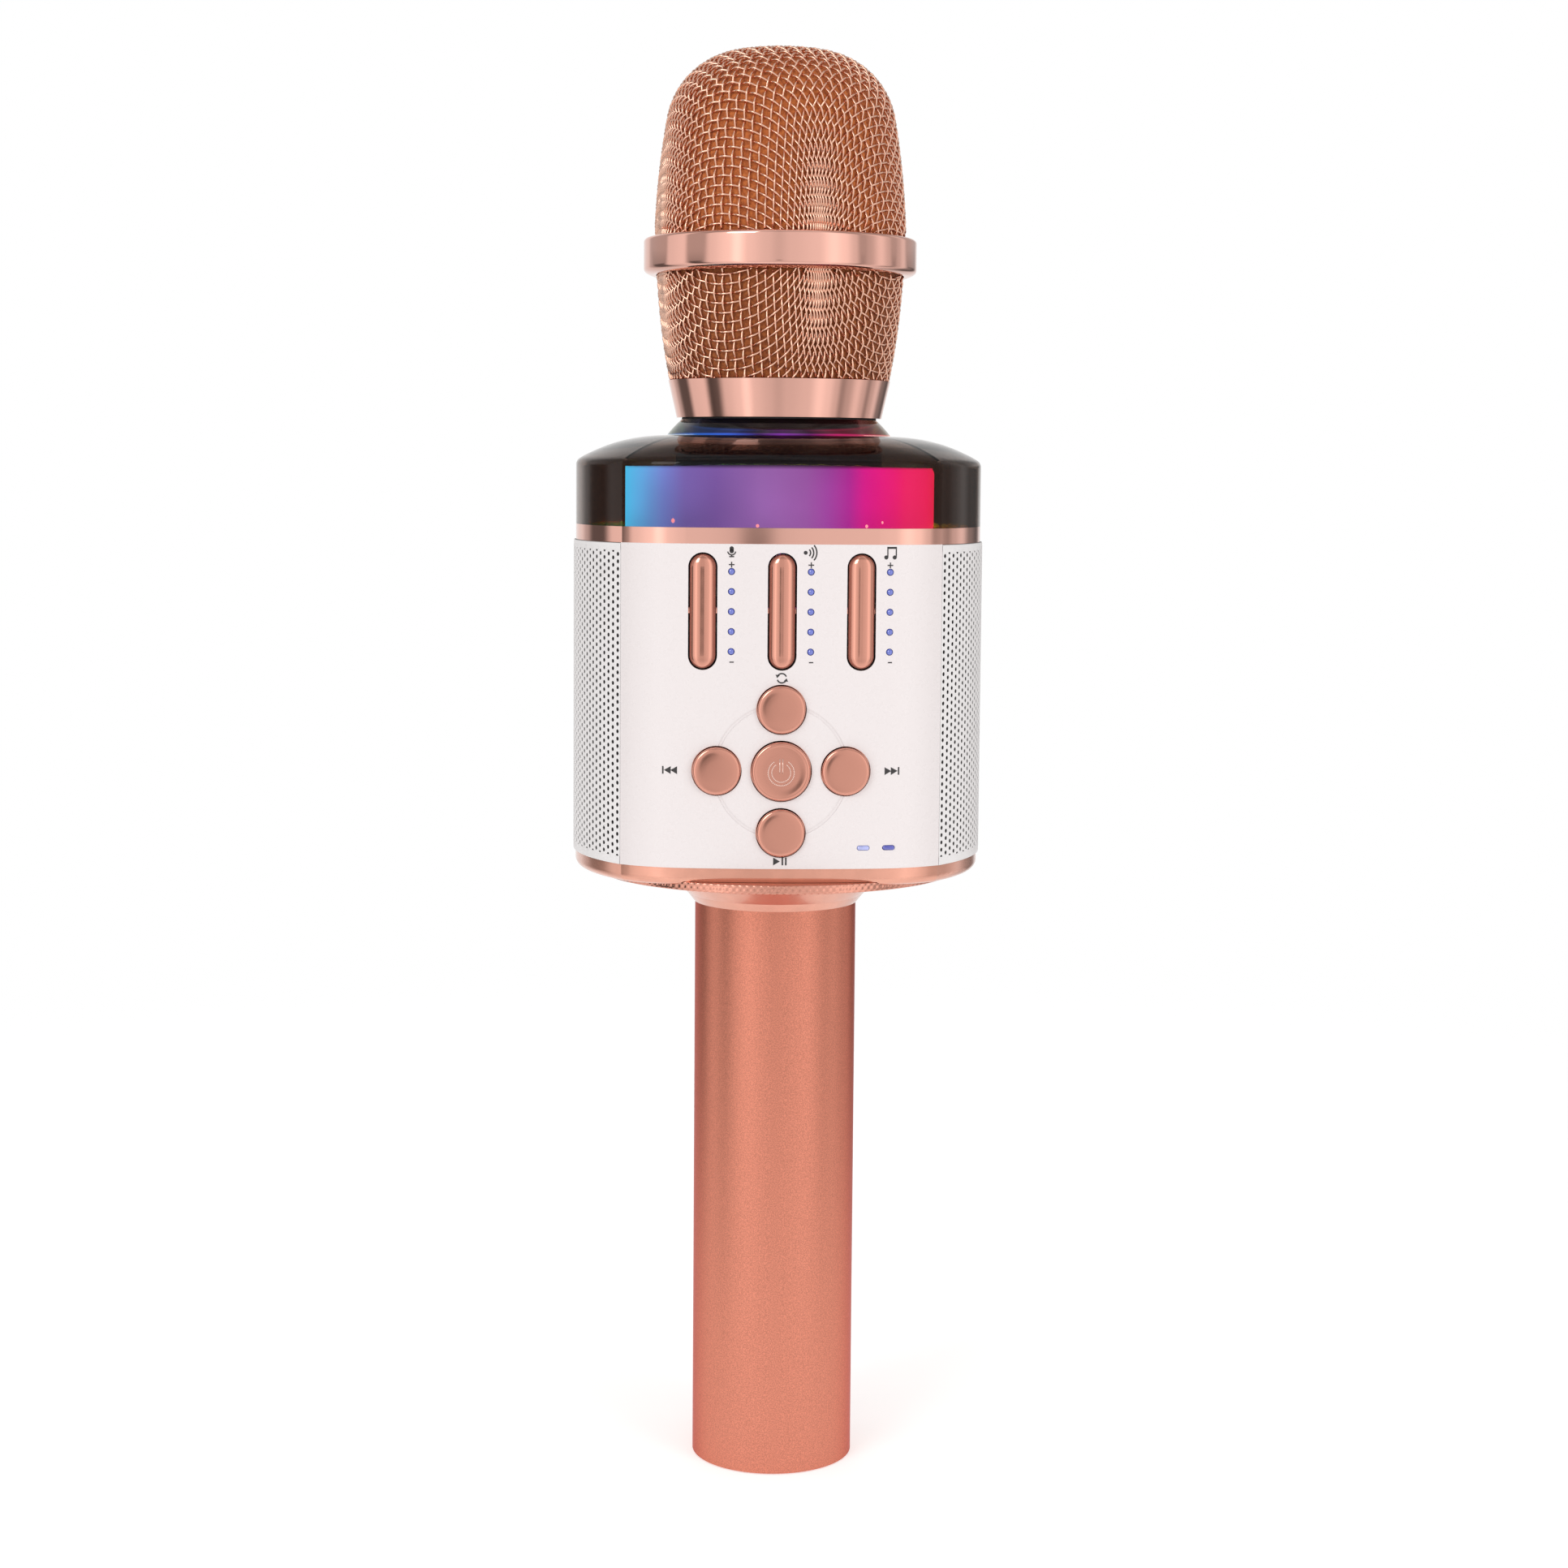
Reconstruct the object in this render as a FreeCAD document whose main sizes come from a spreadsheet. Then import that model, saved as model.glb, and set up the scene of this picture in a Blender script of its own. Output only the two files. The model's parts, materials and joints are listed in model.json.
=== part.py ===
import FreeCAD, Part
import math
import os

import Sketcher

# Karaoke microphone with a speaker body and a light ring. Millimetres, +Z up.
# The origin is the middle of the handle's flat foot, and the keys face -Y.
# "Forward" is the distance from the axis towards the front, along -Y.

SIZES = {
    # handle
    "handle_radius": 15.0,
    "handle_bore": 13.6,
    "handle_top": 105.1,
    "plug_radius": 13.5,
    "plug_wall": 1.6,
    "cap_top": 10.0,
    "cap_thickness": 2.4,
    "cell_radius": 9.2,
    "cell_foot": 18.0,
    "cell_top": 83.0,
    "cell_nub_radius": 3.0,
    "cell_nub_top": 84.3,
    "sled_radius": 11.8,
    "sled_bore": 9.4,
    "sled_foot": 14.0,
    "sled_top": 89.0,
    "contact_radius": 5.5,
    "contact_thickness": 0.5,
    "lower_contact_foot": 17.3,
    "upper_contact_foot": 84.5,
    "lead_radius": 0.7,
    "lead_side": 2.0,
    "lead_back": 5.0,
    "lead_foot": 89.2,
    "lead_top": 134.0,
    "lead_bend": 9.0,
    # collar and bottom dish
    "collar_spigot_foot": 94.0,
    "collar_bore": 11.6,
    "collar_low_radius": 15.2,
    "collar_high_radius": 16.4,
    "dish_foot": 106.6,
    "boss_radius": 14.8,
    "boss_top": 111.6,
    "dish_bore": 15.0,
    "dish_wall": 1.6,
    "dish_inner_radius": 19.5,
    "dish_flare_radius": 21.0,
    "dish_plate": 111.1,
    "dish_radius": 32.8,
    "ring_top": 112.65,
    "ring_radius": 33.3,
    "ring_bore": 32.85,
    "ring_bevel": 0.15,
    "ring_gap": 0.05,
    "rim_foot": 112.0,
    "rim_floor": 113.6,
    "rim_wall": 2.4,
    "rim_bore": 26.6,
    "rim_rounding": 1.5,
    # outline of the speaker body seen from above
    "seam_side": 28.4,
    "seam_gap": 0.05,
    "seam_forward": 24.71,
    "flat_side": 17.0,
    "flat_forward": 29.234,
    "front_forward": 30.2,
    "front_radius": 150.0,
    "corner_radius": 23.5,
    "plan_radius": 37.645,
    "panel_wall": 1.6,
    "cover_inset": 0.35,
    "cover_wall": 1.0,
    "trim_wall": 1.05,
    # heights of the body, the light section and the neck
    "panel_foot": 115.2,
    "panel_top": 172.3,
    "trim_top": 175.1,
    "cover_corner": 186.7,
    "cover_corner_radius": 1.5,
    "cover_slope": 32.0,
    "cover_top": 191.4,
    "cover_neck_radius": 19.0,
    "cover_bore": 15.9,
    "hollow_shoulder_share": 0.3,
    "hollow_neck_share": 0.5,
    "reach": 60.0,
    # speaker grille and chassis
    "grille_radius": 37.7,
    "grille_bore": 37.0,
    "chassis_radius": 36.6,
    "chassis_bore": 35.0,
    "chassis_foot": 115.4,
    "chassis_top": 172.0,
    "chassis_front": 23.0,
    "baffle_face": 29.2,
    "baffle_wall": 1.6,
    "baffle_side": 20.4,
    "speaker_middle": 143.75,
    "speaker_opening": 17.0,
    # speaker driver, measured from its front plane
    "driver_front": 27.5,
    "flange_radius": 20.0,
    "flange_bore": 17.2,
    "flange_wall": 1.2,
    "basket_wall": 0.8,
    "basket_radius": 10.6,
    "basket_depth": 8.8,
    "basket_hole": 4.4,
    "magnet_radius": 10.2,
    "magnet_depth": 14.6,
    "magnet_bevel": 0.4,
    "magnet_gap": 0.05,
    "surround_radius": 17.0,
    "surround_inner": 14.2,
    "surround_roll": 1.6,
    "surround_sheet": 0.35,
    "surround_drop": 0.2,
    "cone_radius": 14.1,
    "cone_neck": 4.6,
    "cone_depth": 6.0,
    "cone_sheet": 0.5,
    "cone_drop": 0.3,
    "cap_height": 1.8,
    # ports at the rear
    "port_side": 17.5,
    "port_foot": 117.4,
    "port_top": 128.4,
    "port_gap": 0.15,
    "port_face": 37.5,
    "port_inner": 35.2,
    "port_board_side": 16.2,
    "port_board_near": 20.6,
    "port_board_far": 30.2,
    "port_board_foot": 118.4,
    "board_wall": 1.6,
    "usb_middle": 9.6,
    "usb_half": 4.47,
    "usb_height": 3.26,
    "usb_near": 26.6,
    "usb_face": 33.9,
    "usb_wall": 0.32,
    "usb_depth": 6.2,
    "usb_tongue_half": 3.35,
    "usb_tongue": 0.7,
    "usb_tongue_foot": 1.28,
    "usb_tongue_root": 0.5,
    "usb_tongue_back": 0.9,
    "mouth_side_gap": 0.4,
    "mouth_end_gap": 0.35,
    "nose_gap": 0.1,
    "jack_half": 3.1,
    "jack_height": 5.2,
    "jack_near": 22.4,
    "jack_face": 34.9,
    "jack_nose_radius": 2.9,
    "jack_nose_face": 37.3,
    "jack_bore": 1.8,
    "jack_depth": 14.0,
    "jack_middle": 2.6,
    "card_middle": 10.4,
    "card_half": 5.6,
    "card_height": 1.9,
    "card_near": 21.2,
    "card_face": 31.2,
    "card_slot_half": 5.1,
    "card_slot_foot": 0.4,
    "card_slot_height": 1.0,
    "card_slot_depth": 9.0,
    "main_board_side": 21.0,
    "main_board_near": 24.0,
    "main_board_foot": 131.0,
    "main_board_top": 168.0,
    # keys and buttons
    "key_spacing": 13.9,
    "key_middle": 160.5,
    "key_half": 2.3,
    "key_straight": 7.75,
    "key_face": 30.55,
    "key_sole": 0.3,
    "key_rounding": 1.4,
    "key_pivot": 26.3,
    "switch_spread": 7.0,
    "trunnion_radius": 0.8,
    "trunnion_reach": 3.6,
    "trunnion_bore": 0.86,
    "ear_near": 2.75,
    "ear_far": 3.95,
    "ear_half": 2.2,
    "ear_top": 27.2,
    "ear_root": 0.2,
    "bar_top": 24.4,
    "bar_side": 18.1,
    "key_gap": 0.25,
    "light_side": 5.0,
    "light_radius": 0.55,
    "light_hole": 0.62,
    "light_pitch": 3.5,
    "light_back": 26.6,
    "light_proud": 0.2,
    "status_height": 118.9,
    "status_near": 14.6,
    "status_far": 19.1,
    "status_half": 0.68,
    "status_radius": 0.375,
    "status_gap": 0.08,
    "status_proud": 0.1,
    "button_middle": 132.5,
    "button_radius": 4.2,
    "power_radius": 5.2,
    "button_side": 11.35,
    "button_up": 10.85,
    "button_down": 10.9,
    "button_gap": 0.22,
    "button_proud": 0.95,
    "button_crown": 0.35,
    "button_edge": 0.35,
    "button_flange": 0.5,
    "flange_forward": 26.6,
    "flange_sheet": 0.8,
    "stem_radius": 1.6,
    "stem_back": 26.25,
    "groove_radius": 11.65,
    "groove_half": 0.3,
    "groove_depth": 0.15,
    "button_board_front": 22.0,
    "button_board_side": 25.6,
    "button_board_foot": 117.2,
    "button_board_top": 170.4,
    "switch_half": 3.0,
    "switch_body": 2.9,
    "switch_plunger": 3.55,
    "plunger_radius": 1.7,
    "screw_side": 22.6,
    "screw_low": 120.4,
    "screw_high": 167.4,
    "screw_radius": 0.95,
    "screw_hole": 1.1,
    "screw_head": 1.9,
    "screw_head_height": 1.2,
    "screw_tip": 25.6,
    "post_radius": 2.3,
    "post_end": 26.6,
    "shell_screw_ring": 30.4,
    "shell_screw_head": 0.8,
    "shell_screw_seat": 112.0,
    "shell_screw_top": 120.4,
    "shell_post_radius": 2.6,
    "shell_post_foot": 113.7,
    "shell_post_top": 121.6,
    "head_clearance": 0.1,
    "shank_clearance": 0.05,
    "tip_clearance": 0.2,
    # light section
    "deck_inset": 2.4,
    "deck_foot": 172.4,
    "deck_top": 174.0,
    "deck_bore": 4.0,
    "led_board_foot": 174.1,
    "led_board_top": 175.5,
    "led_board_radius": 26.4,
    "led_board_bore": 12.0,
    "led_ring": 23.4,
    "led_half": 2.4,
    "led_height": 1.5,
    "drum_radius": 28.7,
    "drum_wall": 1.3,
    "drum_foot": 174.2,
    "drum_top": 186.1,
    "drum_edge": 1.6,
    "drum_bore": 19.5,
    # neck
    "skirt_foot": 191.45,
    "skirt_radius": 20.6,
    "skirt_top_radius": 18.0,
    "skirt_top": 194.25,
    "skirt_bore": 15.7,
    "spigot_radius": 15.5,
    "spigot_bore": 12.8,
    "spigot_top": 200.2,
    "spigot_flange_radius": 19.0,
    "spigot_flange_foot": 186.4,
    "spigot_flange_top": 189.9,
    "spigot_web": 1.6,
    "stalk_radius": 5.6,
    "stalk_bore": 3.4,
    "stalk_top": 214.0,
    "boot_radius": 9.6,
    "boot_foot": 211.0,
    "boot_top": 224.0,
    "boot_floor": 216.0,
    "boot_round": 1.0,
    "boot_socket": 1.0,
    "capsule_radius": 8.0,
    "capsule_face_radius": 7.0,
    "capsule_round": 1.0,
    "capsule_top": 228.5,
    "capsule_lead_radius": 1.0,
    "capsule_lead_foot": 176.5,
    "capsule_lead_top": 214.8,
    # head
    "seal_bore": 15.9,
    "seal_radius": 17.9,
    "seal_foot": 194.3,
    "seal_top": 194.56,
    "head_collar_foot": 194.6,
    "head_collar_radius": 18.85,
    "head_collar_top_radius": 20.4,
    "head_collar_top": 201.4,
    "thread_bore": 15.6,
    "thread_top": 200.6,
    "ledge_bore": 17.6,
    "lower_foot": 201.45,
    "lower_foot_radius": 20.3,
    "lower_top_radius": 22.7,
    "lower_top": 221.4,
    "lower_bulge": 130.0,
    "band_gap": 0.05,
    "wire_wall": 0.75,
    "foam_gap": 0.9,
    "foam_wall": 3.4,
    "foam_turn_drop": 0.2,
    "foam_crown_in": 0.8,
    "foam_inner_drop": 1.0,
    "liner_thinner": 1.0,
    "band_foot": 220.5,
    "band_radius": 25.0,
    "band_chamfer": 1.4,
    "band_round": 0.8,
    "band_top": 227.1,
    "band_shelf_bore": 21.0,
    "upper_foot": 226.0,
    "upper_foot_radius": 22.8,
    "upper_side_radius": 23.1,
    "upper_side": 229.0,
    "upper_side_bulge": 150.0,
    "upper_turn_radius": 21.0,
    "upper_turn": 248.7,
    "upper_shoulder": 14.8,
    "upper_crown_radius": 9.3,
    "upper_crown": 260.9,
    "upper_top": 261.6,
}

LED_COUNT = 9
LED_FIRST_DEGREES = -9.0
LIGHTS_PER_KEY = 5
SHELL_SCREW_DEGREES = (25, 155, 205, 335)
COVER_STEPS = 7
CORNER_STEPS = 4
CROWN_POWER = 2.4
KEY_SIDES = {"mic": "0 - key_spacing", "echo": "0", "music": "key_spacing"}
BUTTONS = {
    "button_mode": ("0", "button_middle + button_up", "button_radius"),
    "button_prev": ("0 - button_side", "button_middle", "button_radius"),
    "button_power": ("0", "button_middle", "power_radius"),
    "button_next": ("button_side", "button_middle", "button_radius"),
    "button_play": ("0", "button_middle - button_down", "button_radius"),
}
ACROSS = FreeCAD.Rotation(FreeCAD.Vector(0, 1, 0), 90)  # turns +Z to +X
ACROSS_LEFT = FreeCAD.Rotation(FreeCAD.Vector(0, 1, 0), -90)  # turns +Z to -X
FORWARD = FreeCAD.Rotation(FreeCAD.Vector(1, 0, 0), 90)  # turns +Z to -Y
BACKWARD = FreeCAD.Rotation(FreeCAD.Vector(1, 0, 0), -90)  # turns +Z to +Y
UPRIGHT = FreeCAD.Rotation()

doc = FreeCAD.newDocument("karaoke_microphone")
sheet = doc.addObject("Spreadsheet::Sheet", "sizes")
for row, (word, size) in enumerate(SIZES.items(), 1):
    sheet.set(f"A{row}", word)
    sheet.set(f"B{row}", str(size))
    sheet.setAlias(f"B{row}", word)
doc.recompute()

sub_parts = []


def value(text):
    """The number that a sum of sheet words and numbers comes to."""
    total = 0.0
    sign = 1
    for word in text.split():
        if word in "+-":
            sign = 1 if word == "+" else -1
        else:
            total += sign * (SIZES[word] if word in SIZES else float(word))
    return total


def bind(thing, name, text):
    """Bind one property to a sum of sheet words."""
    words = ["sizes." + word if word in SIZES else word for word in text.split()]
    thing.setExpression(name, " ".join(words))


def keep(thing, label):
    """Hand in an object as a sub-part of that name."""
    thing.Label = label
    sub_parts.append(thing)
    return thing


def stand(thing, place, rotation=UPRIGHT):
    """Put an object at a place given as three sums, turned by rotation."""
    spot = FreeCAD.Vector(*(value(text) for text in place))
    thing.Placement = FreeCAD.Placement(spot, rotation)
    for axis, text in zip("xyz", place):
        bind(thing, f"Placement.Base.{axis}", text)
    return thing


def arc_between(start, end, radius):
    """The short arc from start to end; a negative radius puts its centre on the right."""
    chord = end - start
    left = FreeCAD.Vector(-chord.y, chord.x, 0).normalize()
    rise = math.sqrt(radius**2 - (chord.Length / 2) ** 2)
    centre = (start + end) / 2 + left * math.copysign(rise, radius)
    first, last = (start, end) if radius > 0 else (end, start)
    angles = [math.atan2(p.y - centre.y, p.x - centre.x) for p in (first, last)]
    circle = Part.Circle(centre, FreeCAD.Vector(0, 0, 1), abs(radius))
    return Part.ArcOfCircle(circle, *angles)


def draw_outline(sketch, corners):
    """Draw a closed outline through corners (x, y), each bound to the sheet. A third text is the
    radius of the arc that arrives at that corner, with "-" before it for a centre on the right.
    "crown" is an arc with its centre on the y axis, so that it turns into part of a ball."""
    spots = [FreeCAD.Vector(value(corner[0]), value(corner[1]), 0) for corner in corners]
    ends = []
    for index, corner in enumerate(corners):
        start, end = spots[index - 1], spots[index]
        if len(corner) == 2:
            sketch.addGeometry(Part.LineSegment(start, end))
            ends.append((1, 2))
            continue
        clockwise = corner[2].startswith("-")
        bend = corner[2].lstrip("- ")
        chord = end - start
        crown = chord.Length**2 / max(2 * abs(chord.y), 1e-6)
        radius = crown if bend == "crown" else value(bend)
        sketch.addGeometry(arc_between(start, end, -radius if clockwise else radius))
        ends.append((2, 1) if clockwise else (1, 2))
        if bend == "crown":
            sketch.addConstraint(Sketcher.Constraint("PointOnObject", index, 3, -2))
            continue
        number = sketch.addConstraint(Sketcher.Constraint("Radius", index, radius))
        bind(sketch, f"Constraints[{number}]", bend)
    for index, corner in enumerate(corners):
        following = (index + 1) % len(corners)
        far = ends[index][1]
        joint = ("Coincident", index, far, following, ends[following][0])
        sketch.addConstraint(Sketcher.Constraint(*joint))
        for kind, axis, text in (("DistanceX", -2, corner[0]), ("DistanceY", -1, corner[1])):
            if text == "0":
                sketch.addConstraint(Sketcher.Constraint("PointOnObject", index, far, axis))
                continue
            gap = Sketcher.Constraint(kind, -1, 1, index, far, value(text))
            number = sketch.addConstraint(gap)
            bind(sketch, f"Constraints[{number}]", text)


def turned(label, corners):
    """A body turned about its own Z from an outline of (radius, height) corners."""
    body = doc.addObject("PartDesign::Body", label)
    sketch = body.newObject("Sketcher::SketchObject", label + "_profile")
    upright = next(item for item in body.Origin.OriginFeatures if item.Role == "XZ_Plane")
    sketch.AttachmentSupport = [(upright, "")]
    sketch.MapMode = "FlatFace"
    draw_outline(sketch, corners)
    turn = body.newObject("PartDesign::Revolution", label + "_turn")
    turn.Profile = sketch
    turn.ReferenceAxis = (sketch, ["V_Axis"])
    turn.Angle = 360
    return body


def block(low, high):
    """A box between two corners, each of three sums."""
    box = doc.addObject("Part::Box", "block")
    for side, start, end in zip(("Length", "Width", "Height"), low, high):
        bind(box, side, end + " " + minus(start))
    return stand(box, low)


def minus(text):
    """The sum with every sign turned round, ready to follow another."""
    words = text.split()
    if words[0] not in "+-":
        words.insert(0, "+")
    return " ".join({"+": "-", "-": "+"}.get(word, word) for word in words)


def rod(radius, length, place, rotation=UPRIGHT):
    """A cylinder that starts at place."""
    cylinder = doc.addObject("Part::Cylinder", "rod")
    bind(cylinder, "Radius", radius)
    bind(cylinder, "Height", length)
    return stand(cylinder, place, rotation)


def fuse(things):
    """The union of several objects."""
    union = doc.addObject("Part::MultiFuse", "union")
    union.Shapes = things
    union.Refine = True
    return union


def cut(base, tools):
    """An object with several others taken out of it."""
    result = doc.addObject("Part::Cut", "cut")
    result.Base = base
    result.Tool = fuse(tools) if len(tools) > 1 else tools[0]
    return result


def common(base, tool):
    """What two objects share."""
    result = doc.addObject("Part::Common", "common")
    result.Base = base
    result.Tool = tool
    return result


def group(things):
    """Separate solids that share a node."""
    compound = doc.addObject("Part::Compound", "group")
    compound.Links = things
    return compound


def solid_of(shape):
    """A feature that holds a shape worked out in this file."""
    feature = doc.addObject("Part::Feature", "shape")
    feature.Shape = shape
    return feature


def rounded_end(thing, axis, rounding):
    """An object with the edges at its lowest end along an axis rounded."""
    doc.recompute()
    centres = [getattr(edge.CenterOfMass, axis) for edge in thing.Shape.Edges]
    rounded = doc.addObject("Part::Fillet", "rounded")
    rounded.Base = thing
    rounded.Edges = [
        (number, SIZES[rounding], SIZES[rounding])
        for number, centre in enumerate(centres, 1)
        if centre - min(centres) < 1e-4
    ]
    return rounded


# The body's outline from above: a nearly flat front, two rounder corners and a round back.
plan = doc.addObject("Sketcher::SketchObject", "plan")
draw_outline(
    plan,
    [
        ("seam_side", "0 - seam_forward", "- plan_radius"),
        ("flat_side", "0 - flat_forward", "- corner_radius"),
        ("0 - flat_side", "0 - flat_forward", "- front_radius"),
        ("0 - seam_side", "0 - seam_forward", "- corner_radius"),
        ("0", "plan_radius", "- plan_radius"),
    ],
)


def prism(inset, foot, top):
    """The plan drawn in by inset and raised from foot to top."""
    outline = plan
    if inset != "0":
        outline = doc.addObject("Part::Offset2D", "inset_plan")
        outline.Source = plan
        bind(outline, "Value", "0 " + minus(inset))
    column = doc.addObject("Part::Extrusion", "prism")
    column.Base = outline
    column.DirMode = "Custom"
    column.Dir = FreeCAD.Vector(0, 0, 1)
    column.Solid = True
    bind(column, "LengthFwd", top + " " + minus(foot))
    return stand(column, ("0", "0", foot))


def blended_wire(inset, height, roundness, radius):
    """The plan drawn in by inset, blended towards a circle by roundness from 0 to 1."""
    front = FreeCAD.Vector(0, SIZES["front_radius"] - SIZES["front_forward"], 0)
    flat = FreeCAD.Vector(SIZES["flat_side"], -SIZES["flat_forward"], 0)
    out = (flat - front).normalize()
    corner = front + out * (SIZES["front_radius"] - SIZES["corner_radius"])
    bend = SIZES["corner_radius"] - inset
    back = SIZES["plan_radius"] - inset
    along = (back**2 - bend**2 + corner.Length**2) / (2 * corner.Length)
    across = math.sqrt(back**2 - along**2)
    way = FreeCAD.Vector(corner).normalize()
    seam = way * along + FreeCAD.Vector(way.y, -way.x, 0) * across
    flat = front + out * (SIZES["front_radius"] - inset)
    middle = corner + ((seam - corner) + (flat - corner)).normalize() * bend
    side = FreeCAD.Vector(back, 0, 0)
    right = [seam, middle, flat]
    left = [FreeCAD.Vector(-p.x, p.y, 0) for p in reversed(right)]
    nose = FreeCAD.Vector(0, inset - SIZES["front_forward"], 0)
    tail = FreeCAD.Vector(0, back, 0)
    path = [tail, side, *right, nose, *left, side * -1, tail]
    blended = []
    for point in path:
        rounded = FreeCAD.Vector(point).normalize() * radius
        spot = point * (1 - roundness) + rounded * roundness
        blended.append(spot + FreeCAD.Vector(0, 0, height))
    arcs = [Part.Arc(*blended[i : i + 3]).toShape() for i in range(0, len(path) - 1, 2)]
    return Part.Wire(arcs)


def straight_loft(lower, upper):
    """A solid with straight sides between two closed wires."""
    return Part.makeLoft([lower, upper], True, True)


# Handle


def make_handle():
    """Tube, flush foot plug and the funnel-shaped collar on top."""
    tube = turned(
        "handle_tube",
        [
            ("handle_bore", "0"),
            ("handle_radius", "0"),
            ("handle_radius", "handle_top"),
            ("handle_bore", "handle_top"),
        ],
    )
    keep(tube, "handle_tube")
    cap = turned(
        "end_cap",
        [
            ("0", "0"),
            ("plug_radius", "0"),
            ("plug_radius", "cap_top"),
            ("plug_radius - plug_wall", "cap_top"),
            ("plug_radius - plug_wall", "cap_thickness"),
            ("0", "cap_thickness"),
        ],
    )
    keep(cap, "end_cap")
    collar = turned(
        "handle_collar",
        [
            ("collar_bore", "collar_spigot_foot"),
            ("plug_radius", "collar_spigot_foot"),
            ("plug_radius", "handle_top"),
            ("collar_low_radius", "handle_top"),
            ("collar_high_radius", "dish_foot"),
            ("boss_radius", "dish_foot"),
            ("boss_radius", "boss_top"),
            ("collar_bore", "boss_top"),
        ],
    )
    keep(collar, "handle_collar")


def make_battery():
    """One standard cell in an open sled, with its contacts and leads."""
    cell = turned(
        "battery_cell",
        [
            ("0", "cell_foot"),
            ("cell_radius", "cell_foot"),
            ("cell_radius", "cell_top"),
            ("cell_nub_radius", "cell_top"),
            ("cell_nub_radius", "cell_nub_top"),
            ("0", "cell_nub_top"),
        ],
    )
    keep(cell, "battery_cell")
    shell = rod("sled_radius", "sled_top - sled_foot", ("0", "0", "sled_foot"))
    hollow = rod(
        "sled_bore",
        "upper_contact_foot + contact_thickness - lower_contact_foot",
        ("0", "0", "lower_contact_foot"),
    )
    window = block(
        ("0 - sled_radius", "0 - sled_radius - 1", "lower_contact_foot"),
        ("sled_radius", "0 - cell_nub_radius", "upper_contact_foot + contact_thickness"),
    )
    keep(cut(shell, [hollow, window]), "battery_sled")
    contacts = [
        rod("contact_radius", "contact_thickness", ("0", "0", foot))
        for foot in ("lower_contact_foot", "upper_contact_foot")
    ]
    leads = [solid_of(battery_lead(side)) for side in (-1, 1)]
    keep(group([*contacts, *leads]), "battery_harness")


def battery_lead(side):
    """One lead: up from the sled, round a bend, and back to the main board."""
    spot = FreeCAD.Vector(side * SIZES["lead_side"], SIZES["lead_back"], 0)
    bend = SIZES["lead_bend"]
    foot = spot + FreeCAD.Vector(0, 0, SIZES["lead_foot"])
    turn = spot + FreeCAD.Vector(0, 0, SIZES["lead_top"] - bend)
    middle = turn + FreeCAD.Vector(0, bend * (1 - math.sqrt(0.5)), bend * math.sqrt(0.5))
    after = turn + FreeCAD.Vector(0, bend, bend)
    end = FreeCAD.Vector(after.x, SIZES["main_board_near"], after.z)
    runs = [
        Part.LineSegment(foot, turn).toShape(),
        Part.Arc(turn, middle, after).toShape(),
        Part.LineSegment(after, end).toShape(),
    ]
    ring = Part.Circle(foot, FreeCAD.Vector(0, 0, 1), SIZES["lead_radius"]).toShape()
    return Part.Wire(runs).makePipeShell([Part.Wire([ring])], True, False)


# Bottom of the body


def make_bottom():
    """Dish, knurled ring and the shelf that carries the panel, with the dish's screws."""
    dish = turned(
        "dish",
        [
            ("dish_bore", "dish_foot"),
            ("collar_high_radius", "dish_foot"),
            ("dish_flare_radius", "dish_plate"),
            ("dish_radius", "dish_plate"),
            ("dish_radius", "ring_top"),
            ("dish_inner_radius", "ring_top"),
            ("dish_bore", "dish_foot + dish_wall"),
        ],
    )
    screws = []
    wells = []
    for x, y in shell_screw_places():
        shank_place = (x, y, "shell_screw_seat")
        shank_length = "shell_screw_top - shell_screw_seat"
        shank = rod("screw_radius - shank_clearance", shank_length, shank_place)
        head_place = (x, y, "shell_screw_seat - shell_screw_head")
        screws.append(fuse([shank, rod("screw_head", "shell_screw_head", head_place)]))
        well_place = (x, y, "dish_foot")
        wells.append(rod("screw_head + head_clearance", "shell_screw_seat - dish_foot", well_place))
    keep(cut(dish, [*wells, *shell_screw_holes()]), "bottom_shell")
    keep(group(screws), "shell_screws")
    knurl = turned(
        "knurled_ring",
        [
            ("ring_bore", "dish_plate"),
            ("ring_radius - ring_bevel", "dish_plate"),
            ("ring_radius", "dish_plate + ring_bevel"),
            ("ring_radius", "ring_top - ring_bevel"),
            ("ring_radius - ring_bevel", "ring_top"),
            ("ring_bore", "ring_top"),
        ],
    )
    keep(knurl, "knurled_ring")
    rim = rounded_end(prism("cover_inset", "rim_foot", "panel_foot"), "z", "rim_rounding")
    well = prism("rim_wall", "rim_floor", "panel_foot + 1")
    recess_height = "ring_top + ring_gap - rim_foot + 1"
    recess = rod("ring_radius + ring_gap", recess_height, ("0", "0", "rim_foot - 1"))
    bore = rod("rim_bore", "reach", ("0", "0", "rim_foot - 1"))
    keep(cut(rim, [well, recess, bore, *shell_screw_holes()]), "bottom_rim")


def shell_screw_places():
    """Places (x, y) of the screws that join the dish, the rim and the chassis."""
    places = []
    for degrees in SHELL_SCREW_DEGREES:
        turn = math.radians(degrees)
        spot = (math.cos(turn), math.sin(turn))
        places.append(tuple(str(round(SIZES["shell_screw_ring"] * part, 4)) for part in spot))
    return places


def shell_screw_holes():
    """Clearance holes for those screws, right through the dish and the rim."""
    return [rod("screw_hole", "reach", (x, y, "dish_foot")) for x, y in shell_screw_places()]


# Speaker body


def forward_rod(radius, length, side, forward, height):
    """A cylinder that starts forward of the axis and runs towards the front."""
    return rod(radius, length, (side, "0 " + minus(forward), height), FORWARD)


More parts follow.
